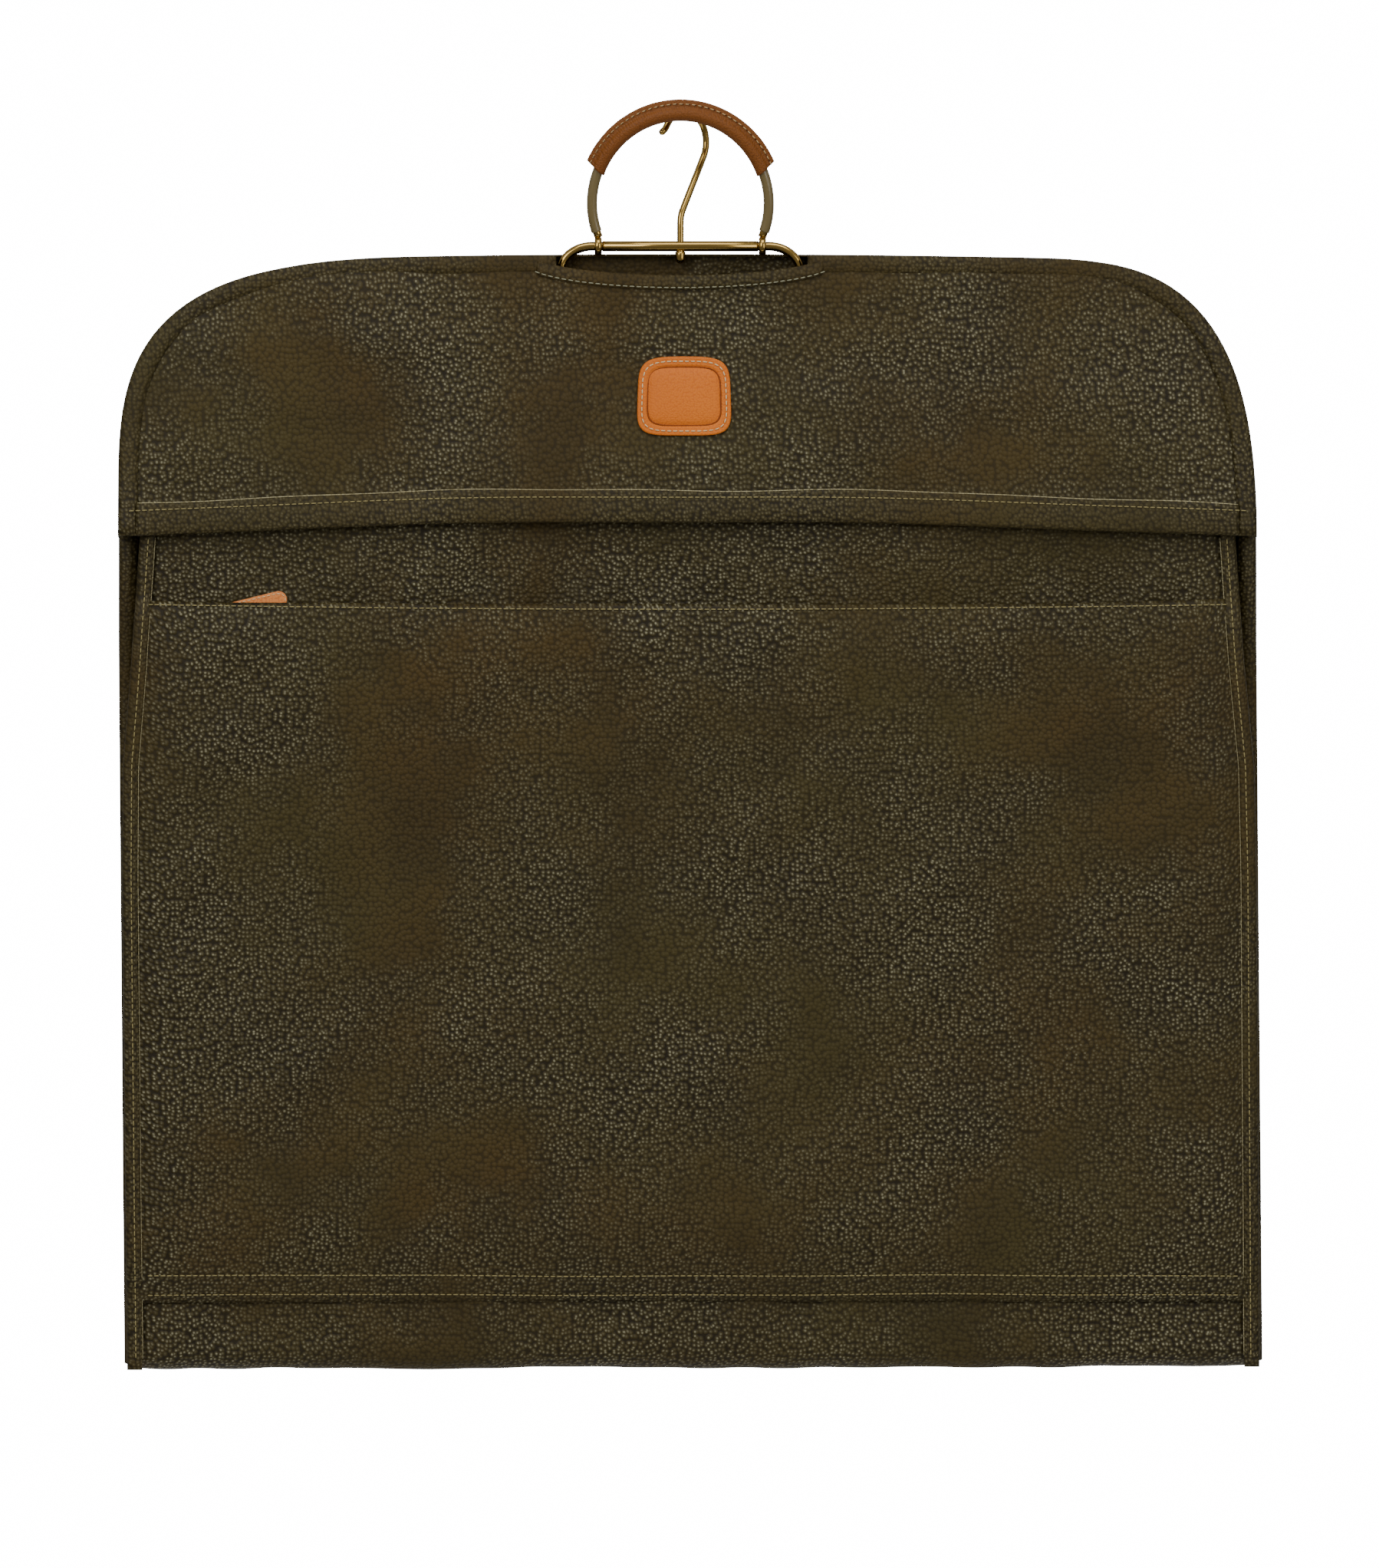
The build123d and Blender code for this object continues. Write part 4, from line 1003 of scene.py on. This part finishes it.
# Painted shade: flat dark marks set between the grip's stitches stand for the shade in the stitch holes.
hole = tan("stitch hole", (0.030, 0.010, 0.003), (0.02, 0.007, 0.002))
seam = resample(seam, 0.0003)[5:] + front_way * 0.0011
grip_hole_shade = capsule("grip hole", 0.0011, 0.0011, 0.0003)
row("grip stitch holes", [seam], GRIP_PITCH, grip_hole_shade, hole, "handle")

# Zips: woven tapes with two rows of small metal teeth. The main one runs down the
# middle of the inner fronts, the other closes the pocket behind its top edge.
tape = one_colour("zip tape", (0.035, 0.027, 0.014), 0.85)
tree = tape.node_tree
shader = tree.nodes["Principled BSDF"]
weave = tree.nodes.new("ShaderNodeTexWave")
weave.inputs["Scale"].default_value = 420.0
tree.links.new(tree.nodes.new("ShaderNodeTexCoord").outputs["Object"], weave.inputs["Vector"])
ridge = tree.nodes.new("ShaderNodeBump")
ridge.inputs["Strength"].default_value = 0.3
ridge.inputs["Distance"].default_value = 0.0003
tree.links.new(weave.outputs["Fac"], ridge.inputs["Height"])
tree.links.new(ridge.outputs["Normal"], shader.inputs["Normal"])
tooth = capsule("tooth", 0.0016, 0.0016, 0.0018, 4)
TOOTH_PITCH = 0.0024
WEAVE = np.array([0, 0.0003, 0])
for name, body in (("main_zip", "upper_half"), ("lower_zip", "lower_half")):
    low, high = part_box(f"{name}_left")
    mid_y = (low[1] + high[1]) / 2
    z = np.linspace(low[2], high[2], 60)[:, None]
    for side, word in ((-1, "left"), (1, "right")):
        x = side * np.linspace(0.0020, 0.0095, 5)[None]
        grid = np.stack([x + 0 * z, mid_y + 0 * (x + z), z + 0 * x], -1)
        strip = shell(f"{name} tape {word}", grid - WEAVE, grid + WEAVE, tape)
        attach(strip, body)
        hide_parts(f"{name}_{word}")
    teeth = []
    for side in (-1, 1):
        ends = [(side * 0.0014, mid_y, low[2] + 0.001), (side * 0.0014, mid_y, high[2] - 0.001)]
        teeth.append(resample(np.array(ends), 0.002))
    row(f"{name} teeth", teeth, TOOTH_PITCH, tooth, brass, body)
teeth = []
for word in ("upper", "lower"):
    low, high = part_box(f"pocket_chain_{word}")
    mid_y, mid_z = (low[1] + high[1]) / 2, (low[2] + high[2]) / 2
    ends = [(low[0] + 0.001, mid_y, mid_z), (high[0] - 0.001, mid_y, mid_z)]
    teeth.append(resample(np.array(ends), 0.002))
row_of_teeth = row("pocket teeth", teeth, TOOTH_PITCH, tooth, brass, "lower_half")
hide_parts("pocket_chain_upper", "pocket_chain_lower")
x = np.linspace(-0.281, 0.281, 80)[None] + SIDE
for word, top_z, inward in (("upper", POCKET_TOP - 0.0060, False), ("lower", POCKET_TOP - 0.0164, True)):
    z = np.linspace(top_z - 0.0102, top_z, 5)[:, None] + 0 * x
    y = pocket_depth(x, z) + 0.0024 if inward else FRONT_Y - 0.0012 + 0 * z
    grid = np.stack([x + 0 * z, y, z], -1)
    strip = shell(f"pocket tape {word}", grid - WEAVE, grid + WEAVE, tape)
    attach(strip, "lower_half")
    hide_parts(f"pocket_tape_{word}")

# Pocket zip pull: a tapered tan leather strap with a round end, two layers sewn
# round the edge, swinging on the slider's pin.
pull_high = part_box("pocket_pull")[1]
slider_low, slider_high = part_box("pocket_slider")
pin = np.array([(slider_low[0] + slider_high[0]) / 2, 0, (slider_low[2] + slider_high[2]) / 2])
tilt = math.radians(11.5)
strap_way = np.array([math.cos(tilt), 0, math.sin(tilt)])
strap_up = np.array([-strap_way[2], 0, strap_way[0]])
length = 0.0355
outline = []
for a in np.linspace(-math.pi / 2, math.pi / 2, 22):
    outline.append((length + 0.0045 * math.cos(a), 0.0045 * math.sin(a)))
for a in np.linspace(math.pi / 2, 3 * math.pi / 2, 14):
    outline.append((0.0030 * math.cos(a), 0.0030 * math.sin(a)))
outline = np.array(outline)
middle = np.array([length / 2, 0])
levels = [(0.985, 0.0), (1.0, 0.0003), (1.0, 0.0011), (0.985, 0.0014), (0.93, 0.0015), (0.6, 0.0015)]
rings = []
for scale, up in levels:
    spots = middle + (outline - middle) * np.array([1 - (1 - scale) * 0.35, scale])
    ring = np.array([pin + strap_way * a + strap_up * b for a, b in spots])
    rings.append(ring + np.array([0, pull_high[1] - up, 0]))
pull_leather = tan("pull leather", (0.55, 0.19, 0.05), (0.44, 0.13, 0.03), rough=0.55)
strap = stacked("pocket pull", rings, pull_leather)
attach(strap, "pocket_pull")
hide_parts("pocket_pull")
edge = middle + (outline - middle) * np.array([0.96, 0.72])
edge = np.array([pin + strap_way * a + strap_up * b for a, b in edge])
edge = resample((edge + np.array([0, pull_high[1] - 0.0015, 0]))[:-6], 0.0008)
pull_stitch = capsule("pull stitch", 0.0018, 0.0006, 0.0005)
row("pull stitches", [edge], 0.0026, pull_stitch, pale_thread, "pocket_pull")

# Stage: a pale round floor far enough down for the opened bag to hang clear, white
# surroundings that are darker below, and soft lamps in front, above and behind.
floor_mesh = bpy.data.meshes.new("floor")
FLOOR_Z, FLOOR_RADIUS = -1.40, 1.3
spots = []
for t in np.linspace(0, 2 * math.pi, 64, endpoint=False):
    spots.append((FLOOR_RADIUS * math.cos(t), FLOOR_RADIUS * math.sin(t), FLOOR_Z))
floor_mesh.from_pydata(spots, [], [tuple(range(len(spots)))])
floor = bpy.data.objects.new("floor", floor_mesh)
bpy.context.collection.objects.link(floor)
floor_mesh.materials.append(one_colour("pale floor", (0.85, 0.85, 0.85), 0.9))
world = bpy.data.worlds.new("surroundings")
bpy.context.scene.world = world
world.use_nodes = True
tree = world.node_tree
sky = tree.nodes["Background"]
sky.inputs["Color"].default_value = (1, 1, 1, 1)
ray = tree.nodes.new("ShaderNodeLightPath")
power = tree.nodes.new("ShaderNodeMapRange")
height = tree.nodes.new("ShaderNodeSeparateXYZ")
tree.links.new(tree.nodes.new("ShaderNodeTexCoord").outputs["Generated"], height.inputs[0])
glow = tree.nodes.new("ShaderNodeMapRange")
glow.inputs["From Min"].default_value = -1.0
glow.inputs["To Min"].default_value = 0.12
glow.inputs["To Max"].default_value = 0.58
tree.links.new(height.outputs["Z"], glow.inputs["Value"])
tree.links.new(glow.outputs["Result"], power.inputs["To Min"])
power.inputs["To Max"].default_value = 16.0
tree.links.new(ray.outputs["Is Camera Ray"], power.inputs["Value"])
tree.links.new(power.outputs["Result"], sky.inputs["Strength"])


def lamp(name, spot, aim, size, watts):
    """A soft rectangular lamp at a spot, turned towards what it lights."""
    data = bpy.data.lights.new(name, "AREA")
    data.shape = "RECTANGLE"
    data.size, data.size_y = size
    data.energy = watts
    thing = bpy.data.objects.new(name, data)
    bpy.context.collection.objects.link(thing)
    thing.location = spot
    way = np.array(aim, float) - np.array(spot, float)
    thing.rotation_mode = "QUATERNION"
    thing.rotation_quaternion = Vector(way).to_track_quat("-Z", "Y")


lamp("front left lamp", (-1.3, -2.0, 0.7), (0, 0, -0.35), (1.2, 1.4), 32.5)
lamp("front right lamp", (1.5, -1.7, 0.1), (0, 0, -0.35), (1.0, 1.6), 18)
lamp("top lamp", (0.1, -1.0, 1.5), (0, 0, -0.15), (1.6, 0.9), 21)
lamp("back lamp", (0.4, 2.2, 0.5), (0, 0, -0.35), (1.6, 1.4), 55)

# Camera: far off with a long lens, level with the middle of what it takes in, so
# that the bag is seen straight from the front.
SEEN_HEIGHT = 0.8231
SEEN_MIDDLE_Z = -0.35248331
SENSOR = 36.0
distance = 14.0
eye_data = bpy.data.cameras.new("camera")
eye_data.sensor_width = SENSOR
eye_data.lens = SENSOR * distance / SEEN_HEIGHT
eye_data.clip_end = 40.0
view = bpy.data.objects.new("camera", eye_data)
bpy.context.collection.objects.link(view)
view.location = (SIDE + 0.0010, -distance - 0.03, SEEN_MIDDLE_Z)
view.rotation_euler = (math.pi / 2, 0, 0)
bpy.context.scene.camera = view
